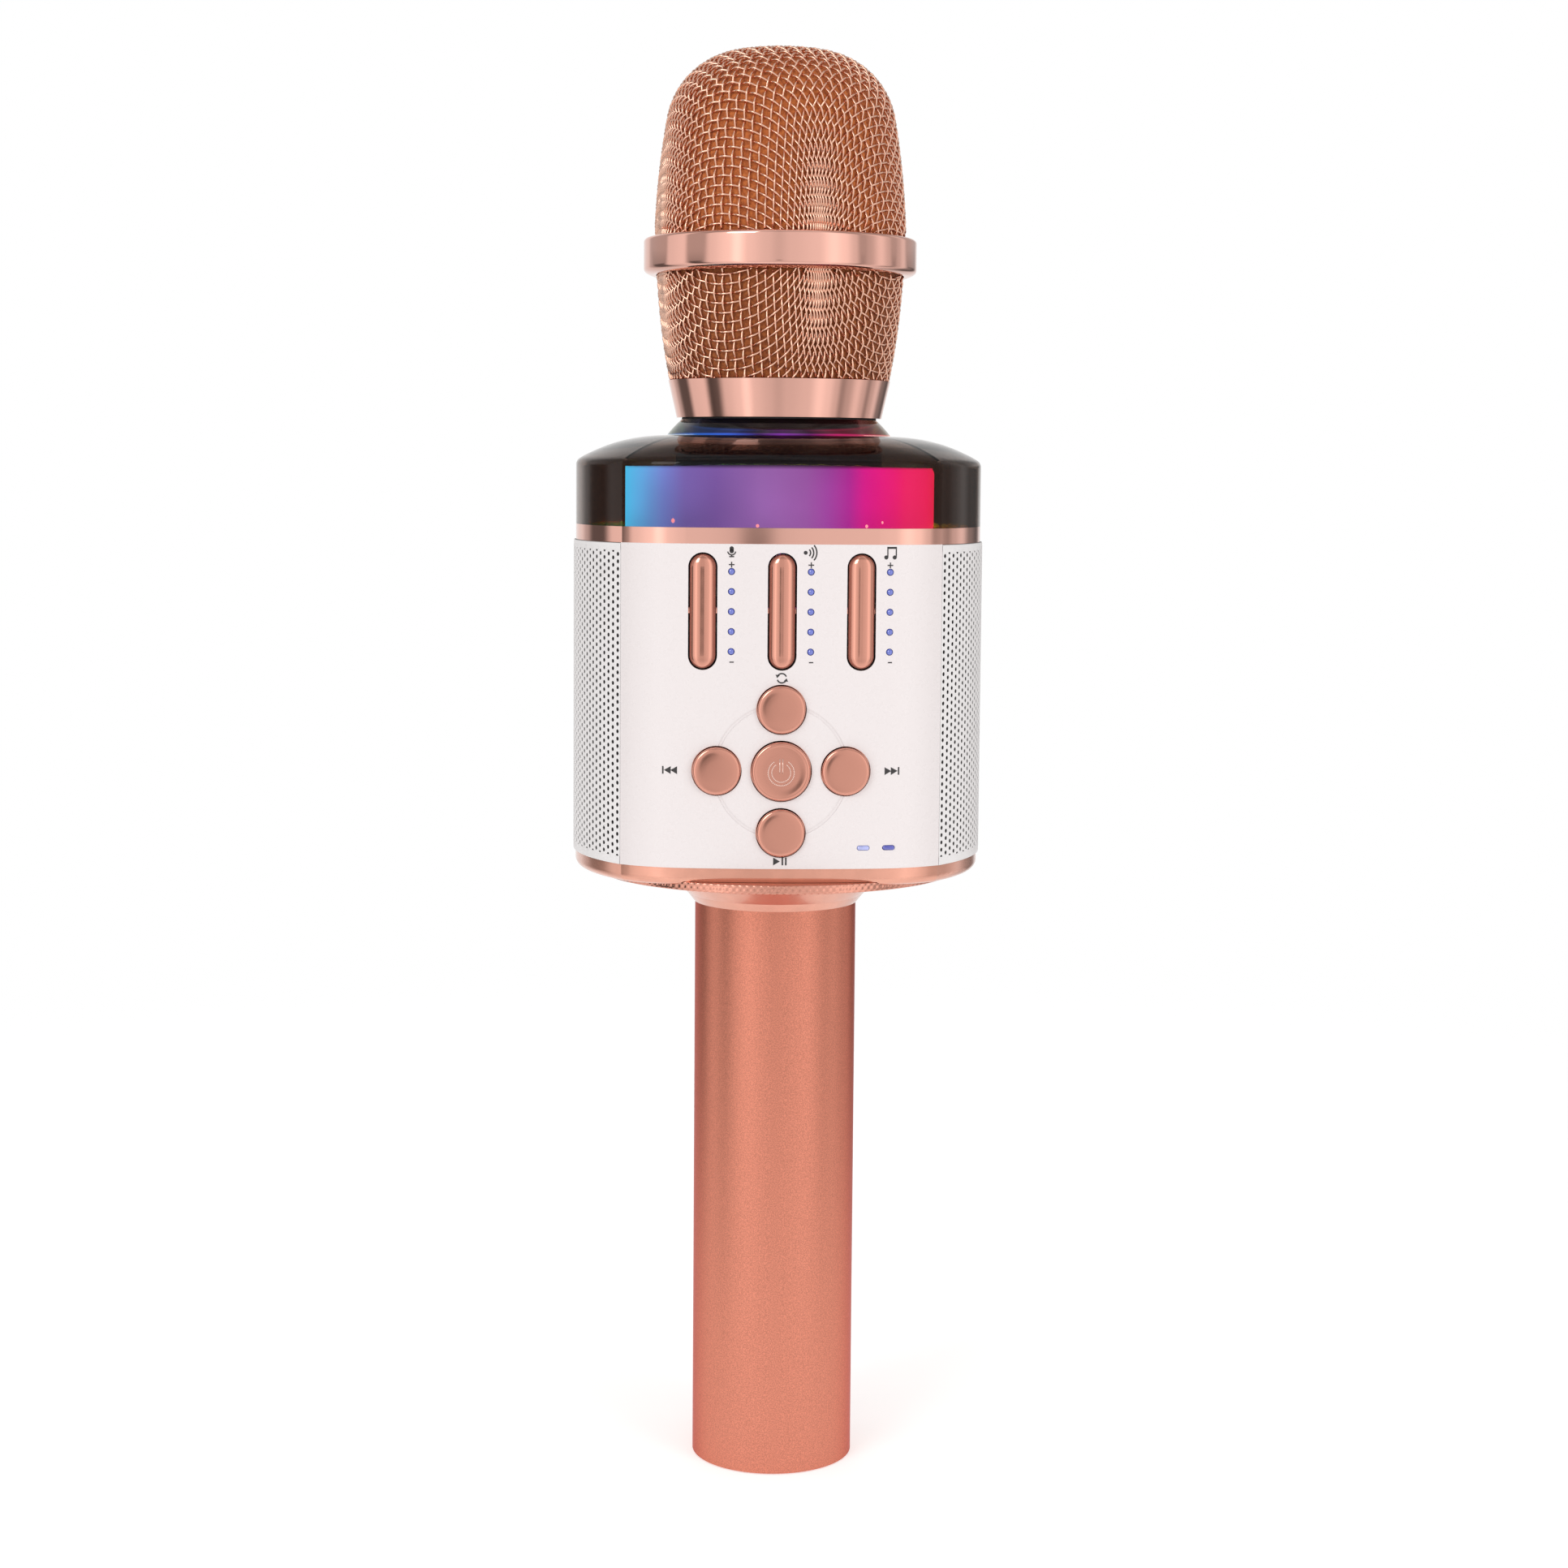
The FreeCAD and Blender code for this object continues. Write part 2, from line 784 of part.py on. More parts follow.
def slot_tool(half_width, straight, side, height, margin):
    """An upright slot that runs right through the panel."""
    width = half_width + " + " + margin
    ends = [
        forward_rod(width, "reach", side, "chassis_front", height + " " + sign + " " + straight)
        for sign in "+-"
    ]
    middle = block(
        (side + " " + minus(width), "0 - reach", height + " - " + straight),
        (side + " + " + width, "0 - chassis_front", height + " + " + straight),
    )
    return fuse([*ends, middle])


def light_heights():
    """Heights of one column of level lights."""
    steps = range(-(LIGHTS_PER_KEY // 2), LIGHTS_PER_KEY // 2 + 1)
    heights = []
    for step in steps:
        sign = "+" if step > 0 else "-"
        heights.append("key_middle" + f" {sign} light_pitch" * abs(step))
    return heights


def make_panel():
    """White front panel with its openings, ring groove and screw posts."""
    ring = cut(prism("0", "panel_foot", "panel_top"), [prism("panel_wall", "0", "panel_top + 1")])
    window = block(
        ("0 - seam_side + seam_gap", "0 - reach", "panel_foot"),
        ("seam_side - seam_gap", "0", "panel_top"),
    )
    skin = common(ring, window)
    posts = []
    holes = []
    for side in ("screw_side", "0 - screw_side"):
        for height in ("screw_low", "screw_high"):
            length = "post_end - button_board_front"
            place = (side, "button_board_front", height)
            posts.append(forward_rod("post_radius", length, *place))
            holes.append(forward_rod("screw_radius", "screw_tip - button_board_front", *place))
    for side, height, radius in BUTTONS.values():
        holes.append(forward_rod(radius + " + button_gap", "reach", side, "chassis_front", height))
    for side in KEY_SIDES.values():
        holes.append(slot_tool("key_half", "key_straight", side, "key_middle", "key_gap"))
        for height in light_heights():
            light = side + " + light_side"
            holes.append(forward_rod("light_hole", "reach", light, "chassis_front", height))
    for side in ("status_near", "status_far"):
        holes.append(status_pill(side, "reach", "status_gap"))
    groove = cut(
        forward_rod("groove_radius + groove_half", "reach", "0", "chassis_front", "button_middle"),
        [
            forward_rod("groove_radius - groove_half", "reach + 1", "0", "0", "button_middle"),
            prism("groove_depth", "panel_foot", "panel_top"),
        ],
    )
    holes.append(groove)
    keep(cut(fuse([skin, *posts]), holes), "control_panel")


def status_pill(side, length, margin):
    """A small level pill that runs towards the front."""
    radius = "status_radius + " + margin
    back = "light_back"
    ends = [
        forward_rod(radius, length, side + sign + "status_half", back, "status_height")
        for sign in (" + ", " - ")
    ]
    middle = block(
        (side + " - status_half", "0 - light_back " + minus(length), "status_height " + minus(radius)),
        (side + " + status_half", "0 - light_back", "status_height + " + radius),
    )
    return fuse([*ends, middle])


def panel_forward(side):
    """How far forward the panel's face is at a distance from the middle."""
    if abs(side) <= SIZES["flat_side"]:
        sag = SIZES["front_radius"] - math.sqrt(SIZES["front_radius"] ** 2 - side**2)
        return SIZES["front_forward"] - sag
    slope = SIZES["flat_side"] / SIZES["front_radius"]
    inward = SIZES["flat_side"] - SIZES["corner_radius"] * slope
    base = SIZES["flat_forward"] - SIZES["corner_radius"] * math.sqrt(1 - slope**2)
    return base + math.sqrt(SIZES["corner_radius"] ** 2 - (abs(side) - inward) ** 2)


def face_gap(side, back):
    """Distance from a depth to the panel's face, as a number in text."""
    return str(round(panel_forward(value(side)) - value(back), 3))


def make_lights():
    """Level light beads in three columns, and two status pills."""
    beads = []
    for side in KEY_SIDES.values():
        light = side + " + light_side"
        length = face_gap(light, "light_back")
        for height in light_heights():
            pipe = forward_rod("light_radius", length, light, "light_back", height)
            tip = doc.addObject("Part::Sphere", "tip")
            bind(tip, "Radius", "light_radius")
            forward = "light_back + " + length + " + light_proud - light_radius"
            stand(tip, (light, "0 " + minus(forward), height))
            beads.append(fuse([pipe, tip]))
    keep(group(beads), "level_lights")
    pills = [
        status_pill(side, face_gap(side, "light_back") + " + status_proud", "0")
        for side in ("status_near", "status_far")
    ]
    keep(group(pills), "status_lights")


def make_buttons():
    """Round push buttons: crowned cap, retaining flange and stem."""
    for label, (side, height, radius) in BUTTONS.items():
        face = str(round(panel_forward(value(side)), 3)) + " + button_proud"
        cap = turned(
            label,
            [
                ("0", "stem_back"),
                ("stem_radius", "stem_back"),
                ("stem_radius", "flange_forward"),
                (radius + " + button_flange", "flange_forward"),
                (radius + " + button_flange", "flange_forward + flange_sheet"),
                (radius, "flange_forward + flange_sheet"),
                (radius, face + " - button_edge - button_crown"),
                (radius + " - button_edge", face + " - button_crown", "button_edge"),
                ("0", face, "crown"),
            ],
        )
        keep(stand(cap, (side, "0", height), FORWARD), label)


def make_keys():
    """Pill-shaped rocker keys with trunnions; their flat soles work the switches."""
    for name, side in KEY_SIDES.items():
        drop = str(round(SIZES["front_forward"] - panel_forward(value(side)), 3))
        face = "key_face - " + drop
        back = "key_pivot - key_sole"
        length = face + " " + minus(back)
        ends = [
            forward_rod("key_half", length, side, back, "key_middle" + sign + "key_straight")
            for sign in (" + ", " - ")
        ]
        middle = block(
            (side + " - key_half", "0 " + minus(face), "key_middle - key_straight"),
            (side + " + key_half", "0 " + minus(back), "key_middle + key_straight"),
        )
        axle = rod(
            "trunnion_radius",
            "trunnion_reach + trunnion_reach",
            (side + " - trunnion_reach", "0 - key_pivot", "key_middle"),
            ACROSS,
        )
        label = "rocker_" + name
        pill = fuse([*ends, middle])
        keep(fuse([rounded_end(pill, "y", "key_rounding"), axle]), label)


def make_key_board():
    """Board behind the panel, its switches, the rocker bracket and the screws."""
    board = block(
        ("0 - button_board_side", "0 - button_board_front", "button_board_foot"),
        ("button_board_side", "board_wall - button_board_front", "button_board_top"),
    )
    corners = [
        (side, height)
        for side in ("screw_side", "0 - screw_side")
        for height in ("screw_low", "screw_high")
    ]
    near = "button_board_front - board_wall"
    holes = [forward_rod("screw_hole", "reach", side, near, height) for side, height in corners]
    keep(cut(board, holes), "button_board")
    screws = []
    shank_length = "screw_tip - button_board_front + board_wall - tip_clearance"
    head_near = near + " - screw_head_height"
    for side, height in corners:
        shank = forward_rod("screw_radius - shank_clearance", shank_length, side, near, height)
        head = forward_rod("screw_head", "screw_head_height", side, head_near, height)
        screws.append(fuse([shank, head]))
    keep(group(screws), "board_screws")
    places = [(side, height) for side, height, radius in BUTTONS.values()]
    for side in KEY_SIDES.values():
        places.append((side, "key_middle + switch_spread"))
        places.append((side, "key_middle - switch_spread"))
    switches = []
    for side, height in places:
        body = block(
            (side + " - switch_half", "0 - button_board_front - switch_body", height + " - switch_half"),
            (side + " + switch_half", "0 - button_board_front", height + " + switch_half"),
        )
        plunger = forward_rod("plunger_radius", "switch_plunger", side, "button_board_front", height)
        switches.append(fuse([body, plunger]))
    keep(group(switches), "tact_switches")
    bar = block(
        ("0 - bar_side", "0 - bar_top", "key_middle - ear_half"),
        ("bar_side", "0 - button_board_front", "key_middle + ear_half"),
    )
    ears = []
    for side in KEY_SIDES.values():
        for low, high in ((" - ear_far", " - ear_near"), (" + ear_near", " + ear_far")):
            ears.append(
                block(
                    (side + low, "0 - ear_top", "key_middle - ear_half"),
                    (side + high, "0 - bar_top + ear_root", "key_middle + ear_half"),
                )
            )
    bore_place = ("0 - reach", "0 - key_pivot", "key_middle")
    bore = rod("trunnion_bore", "reach + reach", bore_place, ACROSS)
    keep(cut(fuse([bar, *ears]), [bore]), "rocker_bracket")


def make_shell():
    """Perforated wrap, inner chassis with its baffles, and the rear port plate."""
    wrap = cut(
        rod("grille_radius", "panel_top - panel_foot", ("0", "0", "panel_foot")),
        [
            rod("grille_bore", "reach", ("0", "0", "panel_foot - 1")),
            block(
                ("0 - seam_side - seam_gap", "0 - reach", "0"),
                ("seam_side + seam_gap", "0", "cover_top"),
            ),
            block(
                ("0 - port_side - port_gap", "0", "port_foot - port_gap"),
                ("port_side + port_gap", "reach", "port_top + port_gap"),
            ),
        ],
    )
    keep(wrap, "speaker_grille")
    barrel = rod("chassis_radius", "chassis_top - chassis_foot", ("0", "0", "chassis_foot"))
    inside = rod("chassis_bore", "reach", ("0", "0", "chassis_foot - 1"))
    baffles = []
    sides = (
        ("0 - baffle_face", "0 - baffle_face + baffle_wall"),
        ("baffle_face - baffle_wall", "baffle_face"),
    )
    for low, high in sides:
        near = (low, "0 - baffle_side", "chassis_foot")
        far = (high, "baffle_side", "chassis_top")
        baffles.append(block(near, far))
    front = block(
        ("0 - reach", "0 - reach", "0"),
        ("reach", "0 - chassis_front + board_wall", "cover_top"),
    )
    opening_place = ("0 - reach", "0", "speaker_middle")
    openings = rod("speaker_opening", "reach + reach", opening_place, ACROSS)
    ports = block(
        ("0 - port_side - port_gap", "0", "port_foot - port_gap"),
        ("port_side + port_gap", "reach", "port_top + port_gap"),
    )
    posts = []
    threads = []
    for x, y in shell_screw_places():
        place = (x, y, "shell_post_foot")
        posts.append(rod("shell_post_radius", "shell_post_top - shell_post_foot", place))
        threads.append(rod("screw_radius", "shell_screw_top - shell_post_foot", place))
    body = fuse([cut(barrel, [inside]), *baffles, *posts])
    keep(cut(body, [front, openings, ports, *threads]), "chassis")


def make_speaker(name, sign, rotation):
    """One side-firing driver: basket, magnet, rubber surround and cone with its cap."""
    place = ("0 " + sign + " driver_front", "0", "speaker_middle")
    deep = "0 - basket_depth"
    frame = turned(
        "frame_" + name,
        [
            ("flange_bore", "0"),
            ("flange_radius", "0"),
            ("flange_radius", "0 - flange_wall"),
            ("flange_bore + basket_wall", "0 - flange_wall"),
            ("basket_radius", deep),
            ("basket_hole", deep),
            ("basket_hole", deep + " + basket_wall"),
            ("basket_radius - basket_wall", deep + " + basket_wall"),
            ("flange_bore", "0 - flange_wall"),
        ],
    )
    keep(stand(frame, place, rotation), "speaker_frame_" + name)
    magnet = turned(
        "magnet_" + name,
        [
            ("0", "0 - magnet_depth"),
            ("magnet_radius - magnet_bevel", "0 - magnet_depth"),
            ("magnet_radius", "0 - magnet_depth + magnet_bevel"),
            ("magnet_radius", deep + " - magnet_gap"),
            ("0", deep + " - magnet_gap"),
        ],
    )
    keep(stand(magnet, place, rotation), "speaker_magnet_" + name)
    surround = turned(
        "surround_" + name,
        [
            ("surround_radius", "0 - surround_sheet - surround_drop"),
            ("surround_radius", "0 - surround_drop"),
            ("surround_inner", "0 - surround_drop", "surround_roll"),
            ("surround_inner", "0 - surround_sheet - surround_drop"),
        ],
    )
    keep(stand(surround, place, rotation), "speaker_surround_" + name)
    cone = turned(
        "cone_" + name,
        [
            ("cone_radius", "0 - cone_drop"),
            ("cone_radius", "0 - cone_drop - cone_sheet"),
            ("cone_neck", "0 - cone_depth - cone_sheet"),
            ("0", "0 - cone_depth - cone_sheet"),
            ("0", "0 - cone_depth + cap_height"),
            ("cone_neck", "0 - cone_depth", "- crown"),
        ],
    )
    keep(stand(cone, place, rotation), "speaker_cone_" + name)


def make_ports():
    """Rear plate, its little board and three sockets, and the main board above them."""
    plate = common(
        cut(
            rod("port_face", "port_top - port_foot", ("0", "0", "port_foot")),
            [rod("port_inner", "reach", ("0", "0", "port_foot - 1"))],
        ),
        block(("0 - port_side", "0", "port_foot"), ("port_side", "reach", "port_top")),
    )
    floor = "port_board_foot + board_wall"
    card_floor = floor + " + card_slot_foot"
    usb = (
        ("0 - usb_middle - usb_half", floor),
        ("0 - usb_middle + usb_half", floor + " + usb_height"),
    )
    card = (
        ("card_middle - card_slot_half", card_floor),
        ("card_middle + card_slot_half", card_floor + " + card_slot_height"),
    )
    mouths = [
        block(
            (low[0] + " - mouth_side_gap", "0", low[1] + " - mouth_end_gap"),
            (high[0] + " + mouth_side_gap", "reach", high[1] + " + mouth_end_gap"),
        )
        for low, high in (usb, card)
    ]
    jack_height = floor + " + jack_middle"
    nose_hole = rod("jack_nose_radius + nose_gap", "reach", ("0", "0", jack_height), BACKWARD)
    keep(cut(plate, [*mouths, nose_hole]), "port_plate")
    keep(
        block(
            ("0 - port_board_side", "port_board_near", "port_board_foot"),
            ("port_board_side", "port_board_far", floor),
        ),
        "port_board",
    )
    can = block((usb[0][0], "usb_near", usb[0][1]), (usb[1][0], "usb_face", usb[1][1]))
    cavity = block(
        (usb[0][0] + " + usb_wall", "usb_face - usb_depth", usb[0][1] + " + usb_wall"),
        (usb[1][0] + " - usb_wall", "usb_face + 1", usb[1][1] + " - usb_wall"),
    )
    sill = floor + " + usb_tongue_foot"
    root = "usb_face - usb_depth - usb_tongue_root"
    tongue = block(
        ("0 - usb_middle - usb_tongue_half", root, sill),
        ("0 - usb_middle + usb_tongue_half", "usb_face - usb_tongue_back", sill + " + usb_tongue"),
    )
    keep(fuse([cut(can, [cavity]), tongue]), "usb_socket")
    case_top = floor + " + jack_height"
    case = block(("0 - jack_half", "jack_near", floor), ("jack_half", "jack_face", case_top))
    nose_place = ("0", "jack_face", jack_height)
    nose = rod("jack_nose_radius", "jack_nose_face - jack_face", nose_place, BACKWARD)
    bore_place = ("0", "jack_nose_face - jack_depth", jack_height)
    bore = rod("jack_bore", "reach", bore_place, BACKWARD)
    keep(cut(fuse([case, nose]), [bore]), "audio_jack")
    holder = block(
        ("card_middle - card_half", "card_near", floor),
        ("card_middle + card_half", "card_face", floor + " + card_height"),
    )
    slot = block(
        (card[0][0], "card_face - card_slot_depth", card_floor),
        (card[1][0], "reach", card[1][1]),
    )
    keep(cut(holder, [slot]), "card_slot")
    keep(
        block(
            ("0 - main_board_side", "main_board_near", "main_board_foot"),
            ("main_board_side", "main_board_near + board_wall", "main_board_top"),
        ),
        "main_board",
    )


# Light section


def make_light_section():
    """Trim ring, smoked cover, milky drum, LED board with its LEDs, and the deck below."""
    trim = cut(
        prism("cover_inset", "panel_top", "trim_top"),
        [prism("cover_inset + trim_wall", "panel_top - 1", "trim_top + 1")],
    )
    keep(trim, "trim_ring")
    deck = cut(
        prism("deck_inset", "deck_foot", "deck_top"),
        [rod("deck_bore", "reach", ("0", "0", "deck_foot - 1"))],
    )
    keep(deck, "light_deck")
    board = turned(
        "led_ring_board",
        [
            ("led_board_bore", "led_board_foot"),
            ("led_board_radius", "led_board_foot"),
            ("led_board_radius", "led_board_top"),
            ("led_board_bore", "led_board_top"),
        ],
    )
    keep(board, "led_ring_board")
    leds = []
    for index in range(LED_COUNT):
        degrees = LED_FIRST_DEGREES + index * 360 / LED_COUNT
        led = block(
            ("0 - led_half", "0 - led_half - led_ring", "led_board_top"),
            ("led_half", "led_half - led_ring", "led_board_top + led_height"),
        )
        led.Placement = FreeCAD.Placement()
        turn = FreeCAD.Rotation(FreeCAD.Vector(0, 0, 1), degrees)
        low = FreeCAD.Vector(-SIZES["led_half"], -SIZES["led_half"] - SIZES["led_ring"], 0)
        spot = turn.multVec(low)
        place = (str(round(spot.x, 4)), str(round(spot.y, 4)), "led_board_top")
        leds.append(stand(led, place, turn))
    keep(group(leds), "rgb_leds")
    drum = turned(
        "light_diffuser",
        [
            ("drum_radius - drum_wall", "drum_foot"),
            ("drum_radius", "drum_foot"),
            ("drum_radius", "drum_top - drum_edge"),
            ("drum_radius - drum_edge", "drum_top", "drum_edge"),
            ("drum_bore", "drum_top"),
            ("drum_bore", "drum_top - drum_wall"),
            ("drum_radius - drum_edge", "drum_top - drum_wall"),
            ("drum_radius - drum_wall", "drum_top - drum_edge", "- drum_edge - drum_wall"),
        ],
    )
    keep(drum, "light_diffuser")
    keep(solid_of(cover_shape()), "light_cover")


def cover_solid(inset, drop):
    """The cover's outside, or with inset and drop its hollow."""
    foot = SIZES["trim_top"] - (1 if drop else 0)
    corner = SIZES["cover_corner"] - drop * SIZES["hollow_shoulder_share"]
    rise = SIZES["cover_top"] - drop - corner
    neck = SIZES["cover_neck_radius"] - drop * SIZES["hollow_neck_share"]
    radius = SIZES["cover_corner_radius"]
    bend = math.radians(90 - SIZES["cover_slope"])
    shoulder = corner - radius * math.tan(bend / 2)
    wall = straight_loft(blended_wire(inset, foot, 0, 1), blended_wire(inset, shoulder, 0, 1))
    side = SIZES["plan_radius"] - inset
    wires = []
    for step in range(CORNER_STEPS):
        turn = bend * step / CORNER_STEPS
        roundness = radius * (1 - math.cos(turn)) / (side - neck)
        wires.append(blended_wire(inset, shoulder + radius * math.sin(turn), roundness, neck))
    start = radius * (1 - math.cos(bend)) / (side - neck)
    for step in range(COVER_STEPS + 1):
        roundness = start + (1 - start) * step / COVER_STEPS
        height = corner + rise * (1 - (1 - roundness) ** CROWN_POWER)
        wires.append(blended_wire(inset, height, roundness, neck))
    crown = Part.makeLoft(wires, True, False)
    return wall.fuse(crown)


def cover_shape():
    """Smoked cover: straight wall, rounded corner, sloping crown and a bore for the neck."""
    inset = SIZES["cover_inset"]
    wall = SIZES["cover_wall"]
    foot = FreeCAD.Vector(0, 0, SIZES["trim_top"])
    bore = Part.makeCylinder(SIZES["cover_bore"], SIZES["reach"], foot)
    shell = cover_solid(inset, 0).cut(cover_solid(inset + wall, wall))
    return shell.cut(bore).removeSplitter()


# Neck and pickup


def make_neck():
    """Smoked skirt, threaded spigot, and the pickup on its stalk."""
    skirt = turned(
        "neck_skirt",
        [
            ("skirt_bore", "skirt_foot"),
            ("skirt_radius", "skirt_foot"),
            ("skirt_top_radius", "skirt_top", "skirt_radius"),
            ("skirt_bore", "skirt_top"),
        ],
    )
    keep(skirt, "neck_skirt")
    web = "spigot_flange_foot + spigot_web"
    spigot = turned(
        "neck_spigot",
        [
            ("stalk_bore", "spigot_flange_foot"),
            ("spigot_flange_radius", "spigot_flange_foot"),
            ("spigot_flange_radius", "spigot_flange_top"),
            ("spigot_radius", "spigot_flange_top"),
            ("spigot_radius", "spigot_top"),
            ("spigot_bore", "spigot_top"),
            ("spigot_bore", web),
            ("stalk_bore", web),
        ],
    )
    keep(spigot, "neck_spigot")
    stalk = turned(
        "capsule_stalk",
        [
            ("stalk_bore", web),
            ("stalk_radius", web),
            ("stalk_radius", "stalk_top"),
            ("stalk_bore", "stalk_top"),
        ],
    )
    keep(stalk, "capsule_stalk")
    boot = turned(
        "capsule_holder",
        [
            ("stalk_radius", "boot_foot"),
            ("boot_radius - boot_round", "boot_foot"),
            ("boot_radius", "boot_foot + boot_round", "boot_round"),
            ("boot_radius", "boot_top"),
            ("capsule_radius", "boot_top"),
            ("capsule_radius", "boot_floor"),
            ("0", "boot_floor"),
            ("0", "stalk_top + boot_socket"),
            ("stalk_radius", "stalk_top + boot_socket"),
        ],
    )
    keep(boot, "capsule_holder")
    capsule = turned(
        "mic_capsule",
        [
            ("0", "boot_floor"),
            ("capsule_radius", "boot_floor"),
            ("capsule_radius", "capsule_top - capsule_round"),
            ("capsule_face_radius", "capsule_top", "capsule_round"),
            ("0", "capsule_top"),
        ],
    )
    keep(capsule, "mic_capsule")
    lead = rod(
        "capsule_lead_radius",
        "capsule_lead_top - capsule_lead_foot",
        ("0", "0", "capsule_lead_foot"),
    )
    keep(lead, "capsule_lead")


# Head


def make_head():
    """Collar, two wire cups, the band between them, foam liners and the washer below."""
    washer = turned(
        "seal_ring",
        [
            ("seal_bore", "seal_foot"),
            ("seal_radius", "seal_foot"),
            ("seal_radius", "seal_top"),
            ("seal_bore", "seal_top"),
        ],
    )
    keep(washer, "seal_ring")
    collar = turned(
        "head_collar",
        [
            ("thread_bore", "head_collar_foot"),
            ("head_collar_radius", "head_collar_foot"),
            ("head_collar_top_radius", "head_collar_top"),
            ("ledge_bore", "head_collar_top"),
            ("ledge_bore", "thread_top"),
            ("thread_bore", "thread_top"),
        ],
    )
    keep(collar, "head_collar")
    lower = turned(
        "grille_lower",
        [
            ("lower_foot_radius - wire_wall", "lower_foot", "- lower_bulge"),
            ("lower_foot_radius", "lower_foot"),
            ("lower_top_radius", "lower_top", "lower_bulge"),
            ("lower_top_radius - wire_wall", "lower_top"),
        ],
    )
    keep(lower, "grille_lower")
    band = turned(
        "grille_band",
        [
            ("lower_top_radius + band_gap", "band_foot"),
            ("band_radius - band_chamfer", "band_foot"),
            ("band_radius", "band_foot + band_chamfer"),
            ("band_radius", "band_top - band_round"),
            ("band_radius - band_round", "band_top", "band_round"),
            ("upper_side_radius + band_gap", "band_top"),
            ("upper_side_radius + band_gap", "upper_foot"),
            ("band_shelf_bore", "upper_foot"),
            ("band_shelf_bore", "lower_top"),
            ("lower_top_radius + band_gap", "lower_top"),
        ],
    )
    keep(band, "grille_band")
    wall = "wire_wall"
    upper = turned(
        "grille_upper",
        [
            ("upper_foot_radius - wire_wall", "upper_foot"),
            ("upper_foot_radius", "upper_foot"),
            ("upper_side_radius", "upper_side"),
            ("upper_turn_radius", "upper_turn", "upper_side_bulge"),
            ("upper_crown_radius", "upper_crown", "upper_shoulder"),
            ("0", "upper_top", "crown"),
            ("0", "upper_top - " + wall),
            ("upper_crown_radius", "upper_crown - " + wall, "- crown"),
            ("upper_turn_radius - " + wall, "upper_turn", "- upper_shoulder"),
            ("upper_side_radius - " + wall, "upper_side", "- upper_side_bulge"),
        ],
    )
    keep(upper, "grille_upper")
    gap = "foam_gap"
    both = "foam_gap - foam_wall"
    foam = turned(
        "foam_upper",
        [
            ("upper_foot_radius - " + both, "upper_foot"),
            ("upper_foot_radius - " + gap, "upper_foot"),
            ("upper_side_radius - " + gap, "upper_side"),
            ("upper_turn_radius - " + gap, "upper_turn - foam_turn_drop", "upper_side_bulge"),
            ("upper_crown_radius - foam_turn_drop", "upper_crown - " + gap, "upper_shoulder"),
            ("0", "upper_top - " + gap, "crown"),
            ("0", "upper_top - " + both),
            ("upper_crown_radius - foam_crown_in", "upper_crown - " + both, "- crown"),
            ("upper_turn_radius - " + both, "upper_turn - foam_inner_drop", "- upper_shoulder"),
        ],
    )
    keep(foam, "foam_upper")
    liner = turned(
        "foam_lower",
        [
            ("lower_foot_radius - " + both + " + liner_thinner", "lower_foot"),
            ("lower_foot_radius - " + gap, "lower_foot"),
            ("lower_top_radius - " + gap, "lower_top", "lower_bulge"),
            ("lower_top_radius - " + both + " + liner_thinner", "lower_top"),
        ],
    )
    keep(liner, "foam_lower")


def check_document():
    """Stop if any object failed or any sub-part isn't a valid shape."""
    for item in doc.Objects:
        if "Invalid" in item.State or "Error" in item.State:
            raise RuntimeError(f"{item.Label} is {item.State}")
    for item in sub_parts:
        if item.Shape.isNull() or not item.Shape.isValid() or not item.Shape.Solids:
            raise RuntimeError(f"{item.Label} has no valid solid")


make_handle()
make_battery()
make_bottom()
make_panel()
make_lights()
make_buttons()
make_keys()
make_key_board()
make_shell()
make_speaker("right", "+", ACROSS)
make_speaker("left", "-", ACROSS_LEFT)
make_ports()
make_light_section()
make_neck()
make_head()
doc.recompute()
check_document()
os.makedirs("parts", exist_ok=True)
for item in sub_parts:
    item.Shape.exportStep(f"parts/{item.Label}.step")
    print(item.Label, len(item.Shape.Solids), round(item.Shape.Volume, 1))
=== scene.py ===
import json
import math

import bmesh
import bpy
import numpy as np
from mathutils import Matrix, Vector
from mathutils.bvhtree import BVHTree


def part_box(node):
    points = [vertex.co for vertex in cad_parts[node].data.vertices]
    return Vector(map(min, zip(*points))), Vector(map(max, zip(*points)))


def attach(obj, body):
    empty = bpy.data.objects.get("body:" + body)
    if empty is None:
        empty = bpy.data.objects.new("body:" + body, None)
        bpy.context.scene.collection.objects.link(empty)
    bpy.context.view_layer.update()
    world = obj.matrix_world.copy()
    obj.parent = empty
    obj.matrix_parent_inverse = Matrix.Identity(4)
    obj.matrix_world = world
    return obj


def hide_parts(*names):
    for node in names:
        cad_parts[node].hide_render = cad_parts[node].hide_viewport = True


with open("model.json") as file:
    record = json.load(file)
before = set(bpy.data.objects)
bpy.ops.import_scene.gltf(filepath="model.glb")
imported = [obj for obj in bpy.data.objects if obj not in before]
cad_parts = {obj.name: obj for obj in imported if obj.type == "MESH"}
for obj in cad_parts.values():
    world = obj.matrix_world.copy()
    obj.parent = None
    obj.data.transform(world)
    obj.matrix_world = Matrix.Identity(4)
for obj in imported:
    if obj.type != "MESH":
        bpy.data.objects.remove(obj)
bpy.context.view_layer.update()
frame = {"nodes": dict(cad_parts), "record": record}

MM = 0.001  # every size below is in millimetres and becomes metres with this
NODES = frame["nodes"]


# ---------------------------------------------------------------- reading the frame


def box_mm(node):
    """Lowest and highest corner of a CAD node, in millimetres."""
    low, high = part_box(node)
    return np.array(low) / MM, np.array(high) / MM


